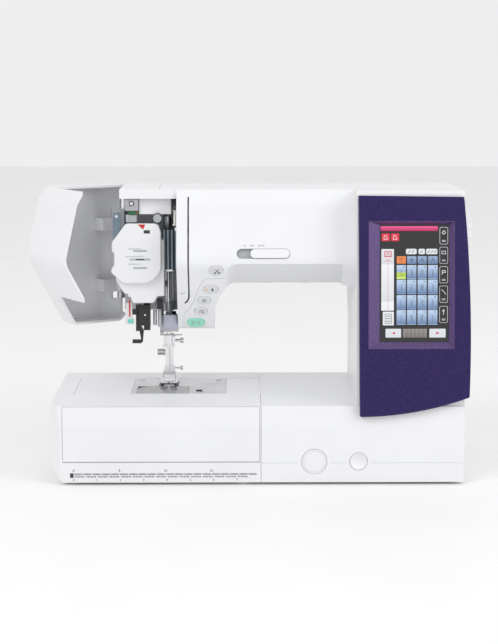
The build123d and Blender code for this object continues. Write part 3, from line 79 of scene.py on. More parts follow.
def add_ramp(tree, source, low, high, start=0.35, end=0.65):
    """Colour that runs from low to high as source rises."""
    ramp = tree.nodes.new("ShaderNodeValToRGB")
    ramp.color_ramp.elements[0].position = start
    ramp.color_ramp.elements[1].position = end
    ramp.color_ramp.elements[0].color = (*low, 1)
    ramp.color_ramp.elements[1].color = (*high, 1)
    tree.links.new(source, ramp.inputs["Fac"])
    return ramp


def add_range(tree, source, low, high):
    """Number that runs from low to high as source rises from 0 to 1."""
    spread = tree.nodes.new("ShaderNodeMapRange")
    spread.inputs["To Min"].default_value = low
    spread.inputs["To Max"].default_value = high
    tree.links.new(source, spread.inputs["Value"])
    return spread.outputs["Result"]


def add_bump(tree, source, shader, depth, strength=0.4):
    bump = tree.nodes.new("ShaderNodeBump")
    bump.inputs["Strength"].default_value = strength
    bump.inputs["Distance"].default_value = depth
    tree.links.new(source, bump.inputs["Height"])
    tree.links.new(bump.outputs["Normal"], shader.inputs["Normal"])


def shade(colour, factor):
    return tuple(min(1.0, channel * factor) for channel in colour)


# %% Moulded plastic
def moulded_plastic(name, colour, rough=0.38, grain=0.00002, coat=0.0, tone=0.04):
    """Injection-moulded plastic with spark-eroded grain and a slow change of tone."""
    material, tree, shader, place = new_finish(name)
    slow = add_noise(tree, place, 9.0, 2.0)
    fine = add_noise(tree, place, 2600.0, 2.0)
    colours = add_ramp(tree, slow.outputs["Fac"], shade(colour, 1 - tone), shade(colour, 1 + tone * 0.5))
    tree.links.new(colours.outputs["Color"], shader.inputs["Base Color"])
    gloss = add_range(tree, fine.outputs["Fac"], rough - 0.05, rough + 0.07)
    tree.links.new(gloss, shader.inputs["Roughness"])
    add_bump(tree, fine.outputs["Fac"], shader, grain)
    shader.inputs["Coat Weight"].default_value = coat
    shader.inputs["Coat Roughness"].default_value = 0.12
    return material


# %% [markdown]
# Brushed and drawn steel show their working direction: fine lines along one axis. Stretching the
# noise along that axis gives the lines, and the same lines drive the roughness.

# %% Metals
def worked_metal(name, colour, rough=0.28, along="x", lines=900.0, depth=0.00001):
    """Steel, zinc or nickel with fine lines along one axis."""
    material, tree, shader, place = new_finish(name)
    stretch = {"x": (0.03, 1, 1), "y": (1, 0.03, 1), "z": (1, 1, 0.03)}[along]
    brushed = add_noise(tree, place, lines, 4.0, stretch)
    slow = add_noise(tree, place, 40.0, 2.0)
    colours = add_ramp(tree, slow.outputs["Fac"], shade(colour, 0.9), shade(colour, 1.06))
    tree.links.new(colours.outputs["Color"], shader.inputs["Base Color"])
    gloss = add_range(tree, brushed.outputs["Fac"], rough - 0.1, rough + 0.14)
    tree.links.new(gloss, shader.inputs["Roughness"])
    add_bump(tree, brushed.outputs["Fac"], shader, depth, 0.3)
    shader.inputs["Metallic"].default_value = 1.0
    return material


# %% [markdown]
# The panel's purple has metal flakes in it. Each Voronoi cell is one flake: its own random colour
# lightens or darkens the paint a little, and a clear coat lies over it all.

# %% Flaked paint
def flaked_paint(name, colour, flake, rough=0.42, coat=0.6, size=1500.0):
    """Dark paint with metal flakes under a clear coat."""
    material, tree, shader, place = new_finish(name)
    cells = tree.nodes.new("ShaderNodeTexVoronoi")
    cells.inputs["Scale"].default_value = size
    tree.links.new(place, cells.inputs["Vector"])
    split = tree.nodes.new("ShaderNodeSeparateColor")
    tree.links.new(cells.outputs["Color"], split.inputs["Color"])
    colours = add_ramp(tree, split.outputs["Red"], colour, flake, 0.55, 1.0)
    tree.links.new(colours.outputs["Color"], shader.inputs["Base Color"])
    gloss = add_range(tree, split.outputs["Green"], rough - 0.12, rough + 0.12)
    tree.links.new(gloss, shader.inputs["Roughness"])
    add_bump(tree, split.outputs["Blue"], shader, 0.00004, 0.35)
    shader.inputs["Metallic"].default_value = 0.55
    shader.inputs["Coat Weight"].default_value = coat
    shader.inputs["Coat Roughness"].default_value = 0.15
    return material


# %% The finishes
finishes = {
    "white": moulded_plastic("white_casing", (0.78, 0.785, 0.80), 0.38, coat=0.12, tone=0.02),
    "grey": moulded_plastic("inner_grey", (0.42, 0.44, 0.46), 0.5),
    "pale_grey": moulded_plastic("pale_grey", (0.66, 0.67, 0.69), 0.42),
    "black": moulded_plastic("black_plastic", (0.018, 0.018, 0.02), 0.4, tone=0.2),
    "mint": moulded_plastic("mint_key", (0.30, 0.72, 0.55), 0.3, coat=0.4),
    "rubber": moulded_plastic("rubber", (0.02, 0.02, 0.02), 0.75, 0.00005, tone=0.2),
    "board": moulded_plastic("circuit_board", (0.02, 0.12, 0.05), 0.45, tone=0.2),
    "lens": moulded_plastic("lamp_lens", (0.9, 0.9, 0.86), 0.2, coat=0.5),
    "steel": worked_metal("brushed_steel", (0.62, 0.62, 0.64), 0.3),
    "chrome": worked_metal("polished_nickel", (0.78, 0.78, 0.8), 0.16, "z"),
    "zinc": worked_metal("cast_zinc", (0.5, 0.51, 0.54), 0.42, "z", 500.0),
    "panel": flaked_paint(
        "screen_panel_paint", (0.010, 0.004, 0.062), (0.046, 0.018, 0.17), 0.5, 0.2, 2200.0
    ),
    "bezel": flaked_paint("bezel_paint", (0.085, 0.05, 0.16), (0.17, 0.11, 0.27), 0.4, 0.2, 2200.0),
    "glass": moulded_plastic("screen_glass", (0.004, 0.004, 0.006), 0.12, 0.0, 0.6),
}


# %% Clear plastic
def clear_plastic(name, tint, rough=0.12):
    """Smoke-clear cover that shows what lies under it."""
    material, tree, shader, place = new_finish(name)
    fine = add_noise(tree, place, 300.0, 2.0)
    gloss = add_range(tree, fine.outputs["Fac"], rough - 0.04, rough + 0.06)
    tree.links.new(gloss, shader.inputs["Roughness"])
    colours = add_ramp(tree, fine.outputs["Fac"], shade(tint, 0.95), tint)
    tree.links.new(colours.outputs["Color"], shader.inputs["Base Color"])
    shader.inputs["Transmission Weight"].default_value = 0.8
    shader.inputs["IOR"].default_value = 1.3
    return material


finishes["clear"] = clear_plastic("clear_cover", (0.82, 0.84, 0.86))

# %% Finish of each CAD node
node_finish = {
    "white": (
        "front_casing", "rear_casing", "side_cover", "base_tray", "free_arm_casing", "extension_table_body",
        "extension_table_door", "hand_wheel", "tension_box", "threader_cover", "threader_lever", "face_cover",
        "top_lid", "carrying_handle", "speed_slider",
    ),
    "grey": ("thread_compartment", "spool_pin", "bobbin_winder", "handle_tray"),
    "pale_grey": ("thread_cutter_key", "needle_position_key", "auto_lock_key", "reverse_key"),
    "black": (
        "hook_cover_latch", "bobbin_holder", "presser_lever", "threader_frame", "threader_carriage",
        "power_fittings", "power_switch",
    ),
    "mint": ("start_stop_key",),
    "rubber": ("rubber_feet", "drive_belts"),
    "board": ("circuit_boards",),
    "lens": ("lamp_lenses",),
    "steel": (
        "needle_plate", "rotary_hook", "feed_dog", "feed_lifter", "upper_shaft", "motor_shaft", "lower_shaft",
        "face_hinge", "winder_spindle",
    ),
    "chrome": ("needle_bar", "needle", "presser_bar", "presser_foot", "take_up_lever"),
    "zinc": ("bed_bracket", "main_frame", "main_motor", "head_plate", "needle_frame", "face_bracket"),
    "panel": ("display_panel",),
    "bezel": ("screen_bezel",),
    "glass": ("touch_screen",),
    "clear": ("hook_cover", "bobbin"),
}
for finish, names in node_finish.items():
    for name in names:
        slots = nodes[name].material_slots
        for place in slots:
            place.material = finishes[finish]
print("nodes finished:", sum(len(names) for names in node_finish.values()))

# %% [markdown]
# The display is lit from behind, so its colours are emission. Each field is a little lighter at its
# top than at its foot. Height divided by the rows' pitch, with the whole part dropped, gives that
# fade once in every row, however many rows there are.

# %% Lit display colours
def lit_display(name, foot, top, glow=1.0, pitch=16.27, start=0.0):
    """Backlit colour that fades from foot to top once in every pitch of height."""
    material, tree, shader, place = new_finish(name)
    split = tree.nodes.new("ShaderNodeSeparateXYZ")
    tree.links.new(place, split.inputs["Vector"])
    shift = tree.nodes.new("ShaderNodeMath")
    shift.operation = "MULTIPLY_ADD"
    shift.inputs[1].default_value = 1 / (pitch * MM)
    shift.inputs[2].default_value = -start / pitch
    tree.links.new(split.outputs["Z"], shift.inputs[0])
    fraction = tree.nodes.new("ShaderNodeMath")
    fraction.operation = "FRACT"
    tree.links.new(shift.outputs["Value"], fraction.inputs[0])
    colours = add_ramp(tree, fraction.outputs["Value"], foot, top, 0.05, 0.95)
    tree.links.new(colours.outputs["Color"], shader.inputs["Emission Color"])
    shader.inputs["Emission Strength"].default_value = glow
    shader.inputs["Base Color"].default_value = (0.01, 0.01, 0.01, 1)
    shader.inputs["Roughness"].default_value = 0.35
    return material


finishes.update({
    "lit_blue": lit_display("display_blue", (0.13, 0.22, 0.42), (0.55, 0.70, 0.90), start=143.3),
    "lit_green": lit_display("display_green", (0.38, 0.55, 0.05), (0.62, 0.80, 0.20), pitch=8.1),
    "lit_white": lit_display("display_white", (0.70, 0.72, 0.76), (0.86, 0.87, 0.90), pitch=40.0),
    "lit_orange": lit_display("display_orange", (0.80, 0.22, 0.05), (0.95, 0.45, 0.22), pitch=40.0),
    "lit_red": lit_display("display_red", (0.60, 0.01, 0.03), (0.80, 0.03, 0.06), pitch=40.0),
    "lit_magenta": lit_display("display_magenta", (0.50, 0.0, 0.10), (0.85, 0.10, 0.30), pitch=5.2),
    "lit_grey": lit_display("display_grey", (0.20, 0.18, 0.17), (0.55, 0.53, 0.50), pitch=40.0),
    "lit_dark": lit_display("display_dark", (0.01, 0.01, 0.015), (0.03, 0.03, 0.04), pitch=40.0),
    # Black print for the keys, the ruler and the label; the same black also paints the shade in the air slots
    # at the back.
    "ink": moulded_plastic("dark_print_and_vent_shade", (0.03, 0.03, 0.035), 0.5, 0.0, tone=0.2),
    # Pale print for signs and arrows; the same dark grey also paints the shade in the bed's foot crease and
    # along the key panel's edge.
    "light_print_and_shade": moulded_plastic("pale_print_and_painted_shade", (0.36, 0.37, 0.40), 0.5, 0.0),
    "red_ink": moulded_plastic("red_print", (0.55, 0.02, 0.02), 0.4, 0.0),
    "orange_lamp": lit_display("orange_lamp", (0.9, 0.25, 0.02), (1.0, 0.4, 0.08), 1.0, 60.0),
    "teal": moulded_plastic("teal_tip", (0.18, 0.62, 0.55), 0.35),
    "steel_blue": worked_metal("blued_steel", (0.20, 0.26, 0.31), 0.35, "z"),
    "lavender": worked_metal("nickel_cover", (0.46, 0.46, 0.56), 0.36, "x", 500.0),
})

# %% [markdown]
# ## Surfaces to draw on
# Marks, seams and small plates lie on flat faces that lean different ways: the front, the sloped
# head, the screen, the back. A matrix for each face holds its right, its up and its outward
# direction. A piece is modelled flat in millimetres, and its mesh is then turned onto the face.

# %% Surface frames
def surface(origin, up=(0, 0, 1), right=(1, 0, 0)):
    """Matrix of a flat face: origin in millimetres, x to the right, y up the face, z out of it."""
    across, along = Vector(right).normalized(), Vector(up).normalized()
    out = across.cross(along)
    turn = Matrix((across, along, out)).transposed().to_4x4()
    return Matrix.Translation(Vector(origin) * MM) @ turn


panel_lean = (0.0, 0.1235, 0.9923)
glass_face = surface((170.8, -83.8 + 5.2 * 0.9923, 220.2 - 5.2 * 0.1235), panel_lean)
slope_lean = (0.0, -0.4903, 0.8716)
brow_lean = (0.0, 0.2425, 0.9701)
front_face = surface((0, -95.0, 0))
back_face = surface((0, 94.93, 0), (0, 0, 1), (-1, 0, 0))


def slope_at(x, z):
    """Frame on the head's lower slope, where the keys are."""
    return surface((x, -14.0 - (z - 160.0) * 0.5625, z), slope_lean)


def brow_at(x, z):
    """Frame on the arm's upper slope, where the speed slider is."""
    return surface((x, -59.0 + (z - 240.0) * 0.25, z), brow_lean)


# %% [markdown]
# ## Modelling helpers
# Each helper starts from a primitive, shapes it in edit mode and closes it. A flat mark is a plane
# with rounded corners that is extruded a tenth of a millimetre. An outline is a disc whose rim is
# moved to the outline's corners and then extruded. Bars and rods get their edges bevelled.

# %% Edit-mode helpers
def only(piece):
    bpy.ops.object.select_all(action="DESELECT")
    piece.select_set(True)
    bpy.context.view_layer.objects.active = piece


def extrude_up(thick):
    """Extrude all that is selected along z and point the faces outwards."""
    bpy.ops.mesh.extrude_region_move(TRANSFORM_OT_translate={"value": (0, 0, thick * MM)})
    bpy.ops.mesh.select_all(action="SELECT")
    bpy.ops.mesh.normals_make_consistent(inside=False)


def patch(face, x, y, w, h, corner=0.0, thick=0.12, angle=0.0):
    """Thin rounded rectangle on a face."""
    bpy.ops.object.select_all(action="DESELECT")
    bpy.ops.mesh.primitive_plane_add(size=1)
    piece = bpy.context.object
    piece.scale = (w * MM, h * MM, 1)
    bpy.ops.object.transform_apply(location=False, rotation=False, scale=True)
    bpy.ops.object.mode_set(mode="EDIT")
    if corner:
        bpy.ops.mesh.bevel(offset=corner * MM, segments=4, affect="VERTICES")
        bpy.ops.mesh.select_all(action="SELECT")
    extrude_up(thick)
    bpy.ops.object.mode_set(mode="OBJECT")
    piece.data.transform(face @ Matrix.Translation((x * MM, y * MM, 0)) @ Matrix.Rotation(angle, 4, "Z"))
    return piece


def stroke(face, start, end, width=0.35, thick=0.12):
    """Thin bar from one point of a face to another."""
    along = Vector(end) - Vector(start)
    middle = (Vector(end) + Vector(start)) / 2
    turn = math.atan2(along.y, along.x)
    return patch(face, middle.x, middle.y, along.length + width, width, 0, thick, turn)


def strokes(face, points, width=0.35, thick=0.12):
    return [stroke(face, a, b, width, thick) for a, b in zip(points, points[1:])]


def outline(face, points, thick=0.12):
    """Plate with the given corners, in order round its edge."""
    bpy.ops.object.select_all(action="DESELECT")
    bpy.ops.mesh.primitive_circle_add(vertices=len(points), radius=MM, fill_type="NGON")
    piece = bpy.context.object
    for vertex, point in zip(piece.data.vertices, points):
        vertex.co = (point[0] * MM, point[1] * MM, 0)
    bpy.ops.object.mode_set(mode="EDIT")
    bpy.ops.mesh.select_all(action="SELECT")
    extrude_up(thick)
    bpy.ops.object.mode_set(mode="OBJECT")
    piece.data.transform(face)
    return piece


def disc(face, x, y, radius, thick=0.12, sides=24, dish=0.0):
    """Round plate, with a stepped dish if asked."""
    bpy.ops.object.select_all(action="DESELECT")
    bpy.ops.mesh.primitive_circle_add(vertices=sides, radius=radius * MM, fill_type="NGON")
    piece = bpy.context.object
    bpy.ops.object.mode_set(mode="EDIT")
    bpy.ops.mesh.select_all(action="SELECT")
    bpy.ops.mesh.extrude_region_move(TRANSFORM_OT_translate={"value": (0, 0, thick * MM)})
    if dish:
        bpy.ops.mesh.inset(thickness=radius * 0.22 * MM)
        bpy.ops.transform.translate(value=(0, 0, -dish * MM))
    bpy.ops.mesh.select_all(action="SELECT")
    bpy.ops.mesh.normals_make_consistent(inside=False)
    bpy.ops.object.mode_set(mode="OBJECT")
    piece.data.transform(face @ Matrix.Translation((x * MM, y * MM, 0)))
    return piece


def ring(face, x, y, radius, wire, height=0.0):
    """Round bead on a face."""
    bpy.ops.object.select_all(action="DESELECT")
    bpy.ops.mesh.primitive_torus_add(
        major_radius=radius * MM, minor_radius=wire * MM, major_segments=32, minor_segments=8
    )
    piece = bpy.context.object
    piece.data.transform(face @ Matrix.Translation((x * MM, y * MM, height * MM)))
    return piece


# %% Bars and rods
def bevel_edges(piece, width, segments=2):
    only(piece)
    rounding = piece.modifiers.new("edge", "BEVEL")
    rounding.width = width * MM
    rounding.segments = segments
    rounding.limit_method = "ANGLE"
    bpy.ops.object.modifier_apply(modifier=rounding.name)
    return piece


def bar(low, high, edge=0.4):
    """Block between two corners, with bevelled edges."""
    bpy.ops.object.select_all(action="DESELECT")
    middle = [(a + b) / 2 * MM for a, b in zip(low, high)]
    bpy.ops.mesh.primitive_cube_add(size=1, location=middle)
    piece = bpy.context.object
    piece.scale = [(b - a) * MM for a, b in zip(low, high)]
    bpy.ops.object.transform_apply(location=True, rotation=True, scale=True)
    return bevel_edges(piece, edge)


def rod(start, end, radius, edge=0.2, sides=24):
    """Round bar between two points, with bevelled ends."""
    bpy.ops.object.select_all(action="DESELECT")
    a, b = Vector(start) * MM, Vector(end) * MM
    bpy.ops.mesh.primitive_cylinder_add(vertices=sides, radius=radius * MM, depth=(b - a).length)
    piece = bpy.context.object
    turn = (b - a).to_track_quat("Z", "Y").to_matrix().to_4x4()
    piece.data.transform(Matrix.Translation((a + b) / 2) @ turn)
    return bevel_edges(piece, edge)


def copy_of(piece, move):
    """Copy with its own mesh, moved by a matrix or by millimetres."""
    twin = piece.copy()
    twin.data = piece.data.copy()
    bpy.context.collection.objects.link(twin)
    twin.data.transform(move if isinstance(move, Matrix) else Matrix.Translation(Vector(move) * MM))
    return twin


# %% Finishing a piece
made = []


def settle(name, pieces, finish, body="machine"):
    """Join, name, colour and hang one piece on its body."""
    bpy.ops.object.select_all(action="DESELECT")
    for piece in pieces:
        piece.select_set(True)
    bpy.context.view_layer.objects.active = pieces[0]
    if len(pieces) > 1:
        bpy.ops.object.join()
    whole = pieces[0]
    whole.name = name
    whole.data.name = name
    whole.data.materials.clear()
    whole.data.materials.append(finishes[finish])
    only(whole)
    bpy.ops.object.transform_apply(location=True, rotation=True, scale=True)
    bpy.ops.object.shade_smooth_by_angle(angle=math.radians(35))
    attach(whole, body)
    made.append(name)
    return whole


# %% [markdown]
# ## The display
# The screen shows a stitch menu: a title bar, a column with the chosen stitch, a grid of stitch
# keys, a strip of function keys and two page keys. It is made of thin lit fields on the glass,
# with stitch marks instead of words.

# %% Display fields
def fields(boxes, corner=0.6, thick=0.1):
    """One rounded field for each (left, right, bottom, top) on the glass."""
    return [
        patch(glass_face, (x0 + x1) / 2, (y0 + y1) / 2, x1 - x0, y1 - y0, corner, thick)
        for x0, x1, y0, y1 in boxes
    ]


columns = [(-19.1, -9.2), (-7.9, 2.1), (3.6, 13.3), (14.8, 25.1)]
rows = [(4.5, 19.8), (-11.5, 3.8), (-28.0, -12.7), (-44.5, -28.9)]
function_rows = [(42.4, 60.5), (21.4, 39.2), (0.5, 18.1), (-20.6, -2.8), (-42.4, -24.7)]

settle("display_title", fields([(-36.5, 25.1, 56.6, 61.8)], 0.3), "lit_magenta")
settle("display_red_keys", fields([(-35.4, -26.6, 45.7, 53.9), (-25.2, -16.6, 45.7, 53.9)], 0.8), "lit_red")
preview = fields([(-35.7, -22.1, -29.4, 37.1), (-34.0, -22.1, -45.3, -30.5)], 0.5)
settle("display_preview", preview, "lit_white")
pills = fields([(left, right, 31.5, 37.4) for left, right in ((-9.2, 2.4), (4.4, 11.4), (12.6, 24.8))], 1.4)
settle("display_pills", pills, "lit_white")
settle("display_tab", fields([(*columns[0], 21.4, 29.4)], 0.8), "lit_orange")
grid = [(*column, *row) for row in rows for column in columns]
grid += [(*column, 21.4, 29.4) for column in columns[1:]]
settle("display_grid", fields(grid, 0.5), "lit_blue")
settle("display_chosen", fields([(*columns[0], 4.6, 12.0)], 0.4, 0.14), "lit_green")
page_keys = fields([(-31.0, -14.2, -58.5, -49.0), (16.4, 34.0, -58.5, -49.0)], 0.6)
settle("display_page_keys", page_keys, "lit_white")
middle = fields([(-12.2 + step * 4.4, -8.2 + step * 4.4, -58.5, -49.0) for step in range(6)], 0.1)
settle("display_page_bar", middle, "lit_grey")
print("display fields:", len(made))

# %% Display outlines and marks
def framed(x0, x1, y0, y1, width=0.35):
    corners = [(x0 + 1, y0), (x1 - 1, y0), (x1, y0 + 1), (x1, y1 - 1)]
    corners += [(x1 - 1, y1), (x0 + 1, y1), (x0, y1 - 1), (x0, y0 + 1), (x0 + 1, y0)]
    return strokes(glass_face, corners, width, 0.14)


def on_glass(x, y, points, width=0.4, thick=0.18):
    return strokes(glass_face, [(x + dx, y + dy) for dx, dy in points], width, thick)


key_outlines = []
for low, high in function_rows:
    key_outlines += framed(27.4, 36.0, low, high)
signs = [
    [(-2, 1), (0, 3), (2, 1), (0, -1), (-2, 1)],
    [(-2, 2), (2, 2), (2, -1), (-2, -1), (-2, 2)],
    [(-1.5, -2), (-1.5, 2), (1.8, 2), (1.8, 0), (-1.5, 0)],
    [(-2, 2.4), (0.4, 0), (2.2, -2.4)],
    [(0, -2.6), (0, 0.6), (-1, 1.6), (0, 2.6), (1, 1.6), (0, 0.6)],
]
for (low, high), sign in zip(function_rows, signs):
    key_outlines += on_glass(31.7, (low + high) / 2 + 2.5, sign, 0.6)
    key_outlines += on_glass(31.7, low + 4.0, [(-1.8, 0), (1.8, 0)], 0.45)
    key_outlines += on_glass(31.7, low + 2.8, [(-1.8, 0), (1.8, 0)], 0.45)
for x in (-31.0, -20.9):
    key_outlines += on_glass(x, 49.8, [(-2, -2.2), (2, -2.2), (0.6, 1.8), (-1.6, 1.8), (-2, -2.2)], 0.5)
settle("display_key_outlines", key_outlines, "lit_white")

# %% [markdown]
# Every key in the grid shows its stitch as a small line: straight, slanted or zigzag. The line's
# points are worked out from the key's number, so hardly any two keys look alike.

# %% Stitch marks
def stitch_mark(number):
    """Small vertical stitch line; the number picks its width, its steps and its shape."""
    swing = (0.0, 0.9, 1.5, 0.6)[number % 4]
    steps = 4 + (number * 3) % 5
    lean = (0.0, 0.5, -0.5)[number % 3]
    points = []
    for step in range(steps + 1):
        side = swing if step % 2 else -swing
        points.append((side + lean * step / steps, 3.4 - 6.8 * step / steps))
    return points


marks = []
for number, (x0, x1, y0, y1) in enumerate(grid[:16]):
    x, y = (x0 + x1) / 2, (y0 + y1) / 2
    marks += on_glass(x, y - 0.6, stitch_mark(number), 0.32)
    marks += on_glass(x + 2.6, y1 - 1.9, [(-0.5, 0), (0.5, 0)], 0.8)
for x0, x1, y0, y1 in grid[17:]:
    marks += on_glass((x0 + x1) / 2, 25.4, [(-1.6, -1.8), (0, 1.9), (1.6, -1.8)], 0.55)
marks += on_glass(-2.9, 25.4, [(-1.9, 0), (1.9, 0)], 0.6) + on_glass(-2.9, 25.4, [(0, -1.9), (0, 1.9)], 0.6)
marks += on_glass(-14.1, 25.4, [(-2.6, 1.8), (2.6, 1.8)], 0.5)
marks += on_glass(-14.1, 25.4, [(0, -2), (0, 1.8)], 0.5)
marks += on_glass(-28.0, -38.0, [(-3.4, 5), (3.2, 5), (3.2, -5), (-3.4, -5), (-3.4, 5)], 0.5)
for dy in (-2.8, 0.0, 2.8):
    marks += on_glass(-28.0, -38.0 + dy, [(-2, 0), (2, 0)], 0.7)
for x in (-5.6, -1.6, 7.6, 15.4, 19.2, 22.4):
    marks += on_glass(x, 34.4, [(-1.0, -1.1), (1.0, 1.1)], 0.6)
settle("display_stitch_marks", marks, "lit_dark")

red = []
for dash in range(18):
    red.append(patch(glass_face, -28.6, -27.0 + dash * 3.1, 0.5, 1.9, 0, 0.16))
red += on_glass(-28.6, 31.6, [(-3.4, -2.6), (3.4, -2.6), (3.4, 2.6), (-3.4, 2.6), (-3.4, -2.6)], 0.9)
red += on_glass(-28.6, 31.6, [(-2, -1.2), (0, 1.2), (2, -1.2)], 0.7)
red += on_glass(-28.6, 24.2, [(-3.6, -0.8), (-1.6, 0.6), (1.6, 0.6), (3.6, -0.8)], 0.45)
for x, side in ((-22.4, -1), (25.4, 1)):
    tail, point = x - side * 1.6, x + side * 2.0
    red.append(outline(glass_face, [(tail, -52.2), (tail, -55.2), (point, -53.7)], 0.2))
settle("display_red_marks", red, "lit_red")
print("pieces after the display:", len(made))

# %% [markdown]
# ## Printing on the case
# Signs on a sewing machine are pad printed: a film of ink, flat on the plastic. Each sign is
# built of thin strokes a tenth of a millimetre high on the key it belongs to, and it rides on that
# key, so it is pressed in with it.

# %% Key signs
def key_sign(node, x, z, points_list, width=0.5, lift=0.95, finish="ink"):
    """Strokes on the face of a key."""
    face = slope_at(x, z) @ Matrix.Translation((0, 0, lift * MM))
    pieces = []
    for points in points_list:
        pieces += strokes(face, points, width, 0.08)
    return settle(node + "_sign", pieces, finish, node + "_body")


def arc(x, y, radius, first, last, steps=8):
    turn = [math.radians(first + (last - first) * step / steps) for step in range(steps + 1)]
    return [(x + radius * math.cos(a), y + radius * math.sin(a)) for a in turn]


key_sign("thread_cutter_key", -42.6, 230.5, [
    [(-1.9, 2.2), (1.6, -1.8)], [(1.9, 2.2), (-1.6, -1.8)],
    arc(-2.2, -2.6, 1.1, 0, 360), arc(2.2, -2.6, 1.1, 0, 360),
    [(-5.6, 0.3), (-5.0, 0.3)],
], 0.55)
key_sign("needle_position_key", -48.8, 208.5, [
    [(1.0, 2.4), (1.0, -1.2)], [(0.0, -0.6), (1.0, -2.2), (2.0, -0.6)], arc(1.0, -0.2, 0.7, 0, 360),
], 0.6)
key_sign("auto_lock_key", -57.1, 195.0, [
    arc(0, 0, 2.0, 0, 360, 12), arc(0, 0, 1.0, 0, 360),
], 0.5, finish="light_print_and_shade")
key_sign("reverse_key", -60.6, 181.6, [
    [(-1.6, -1.6), (-1.6, 0.6)] + arc(0, 0.6, 1.6, 180, 0) + [(1.6, -1.4)],
    [(0.6, -0.6), (1.6, -2.0), (2.6, -0.6)],
], 0.5)
key_sign("start_stop_key", -66.8, 167.6, [
    [(-4.2, -2.0), (-4.2, 2.0), (-0.8, 0), (-4.2, -2.0)],
    [(2.0, -2.0), (2.0, 2.0)], [(4.0, -2.0), (4.0, 2.0)],
], 0.6, finish="light_print_and_shade")
lamp = disc(slope_at(-54.6, 208.3) @ Matrix.Translation((0, 0, 0.9 * MM)), 0, 0, 0.9, 0.3, 16, 0.1)
settle("needle_position_lamp", [lamp], "orange_lamp", "needle_position_key_body")
print("pieces after the key signs:", len(made))

# %% [markdown]
# ## The ruler on the extension table
# A scale is printed along the foot of the table for measuring cloth: centimetres above and inches
# below. Alternate dashes fill the two rows, with a gap at each whole unit, and the numbers stand
# over and under the rows. It rides on the table, so it slides off with it.

# %% Ruler
def number(face, value, x, y, size, thick=0.08):
    """Printed number, made into mesh before it is placed."""
    bpy.ops.object.select_all(action="DESELECT")
    bpy.ops.object.text_add()
    piece = bpy.context.object
    piece.data.body = str(value)
    piece.data.size = size * MM
    piece.data.align_x = "CENTER"
    piece.data.align_y = "CENTER"
    piece.data.extrude = thick * MM / 2
    bpy.ops.object.convert(target="MESH")
    piece = bpy.context.object
    piece.data.transform(face @ Matrix.Translation((x * MM, y * MM, thick * MM / 2)))
    return piece


ruler_zero = -199.0
ruler = [patch(front_face, -201.0, 11.0, 3.8, 5.0, 0.2, 0.08)]
for centimetre in range(20):
    left = ruler_zero + centimetre * 10
    for tick in range(9):
        ruler.append(patch(front_face, left + 1.0 + tick, 12.4, 0.55, 1.9 if tick != 4 else 2.3, 0, 0.08))
for half in range(15):
    left = ruler_zero + half * 12.7
    for tick in range(7):
        ruler.append(patch(front_face, left + 1.6 + tick * 1.5875, 9.6, 0.8, 1.7, 0, 0.08))
for value in (0, 5, 10, 15):
    ruler.append(number(front_face, value, ruler_zero + value * 10, 16.2, 4.2))
for value in range(8):
    ruler.append(number(front_face, value, ruler_zero + value * 25.4, 6.0, 3.8))
settle("table_ruler", ruler, "ink", "extension_table")
print("ruler marks:", len(ruler))

# %% [markdown]
# ## Seams, slots and signs on the white case
# Casings meet in fine shadow gaps. A dark line a few hundredths of a millimetre proud is painted shade
# that stands in where the CAD's own gap is too narrow to show: the crease along the foot of the bed.
# A fine bead marks the rim of each front plug.

# %% Case seams
foot_line = [(6.0, 24.6), (45.0, 24.6)]
# Painted shade: dark lines along the crease at the foot of the bed, where the gap between casings lies in
# shadow.
crease_shade_lines = strokes(front_face, foot_line, 0.25, 0.05)
crease_shade_lines += strokes(front_face, [(81.0, 24.6), (98.0, 24.6)], 0.25, 0.05)
crease_shade_lines += strokes(front_face, [(124.6, 24.6), (224.0, 24.6)], 0.25, 0.05)
settle("bed_foot_crease_shade", crease_shade_lines, "light_print_and_shade")
settle("front_plug_ring", [
    ring(front_face, 63.3, 26.2, 13.0, 0.35), ring(front_face, 111.5, 26.2, 9.1, 0.3),
], "pale_grey")

# %% [markdown]
# Arrows above the speed slider grow from one to three: slow to fast. A hook-shaped arrow at the
# end of the thread slot says which way the thread goes. All are printed, like the keys' signs.

# %% Printed arrows
arrows = []
speed_face = brow_at(8.1, 249.5)
for x, count in ((-19.2, 1), (-12.6, 2), (-3.6, 3)):
    for step in range(count):
        left = x - 2.0 + step * 2.6
        arrows.append(outline(speed_face, [(left, 7.7), (left, 10.1), (left + 2.1, 8.9)], 0.06))
settle("speed_arrows", arrows, "light_print_and_shade")
hook_mark = strokes(slope_at(-78.2, 202.4), [(0.6, 3.4), (-0.6, 1.4), (-2.2, 0.6), (-3.4, 1.2)], 0.5, 0.06)
hook_mark.append(outline(slope_at(-78.2, 202.4), [(-4.6, 0.4), (-2.8, -0.4), (-3.4, 2.6)], 0.06))
settle("thread_path_arrow", hook_mark, "light_print_and_shade")
print("signs on the case:", len(arrows) + len(hook_mark))

# %% [markdown]
# The four lower keys stand on a panel of their own, a separate moulding let into the head. Only its
# edge shows, and it is drawn as painted shade: a fine dark line that runs left above the keys, slants
# down beside them and ends at the foot of the head.

# %% Key panel's edge
def down_slope(points):
    """Points of the lower slope, given by their x and height, in the face's own coordinates."""
    return [(x, (z - 160.0) / 0.8716) for x, z in points]


key_slope = slope_at(0.0, 160.0)
panel_edge = [(-33.9, 221.1), (-56.0, 220.8), (-61.5, 212.6), (-69.0, 192.7), (-75.4, 182.9), (-79.4, 178.8)]
lower_edge = [(-80.2, 176.0), (-80.4, 161.4)]
# Painted shade: dark lines where the key panel's edge meets the head and lies in shadow.
edge_shade_lines = strokes(key_slope, down_slope(panel_edge), 0.4, 0.05)
edge_shade_lines += strokes(key_slope, down_slope(lower_edge), 0.3, 0.05)
settle("key_panel_edge_shade", edge_shade_lines, "light_print_and_shade")
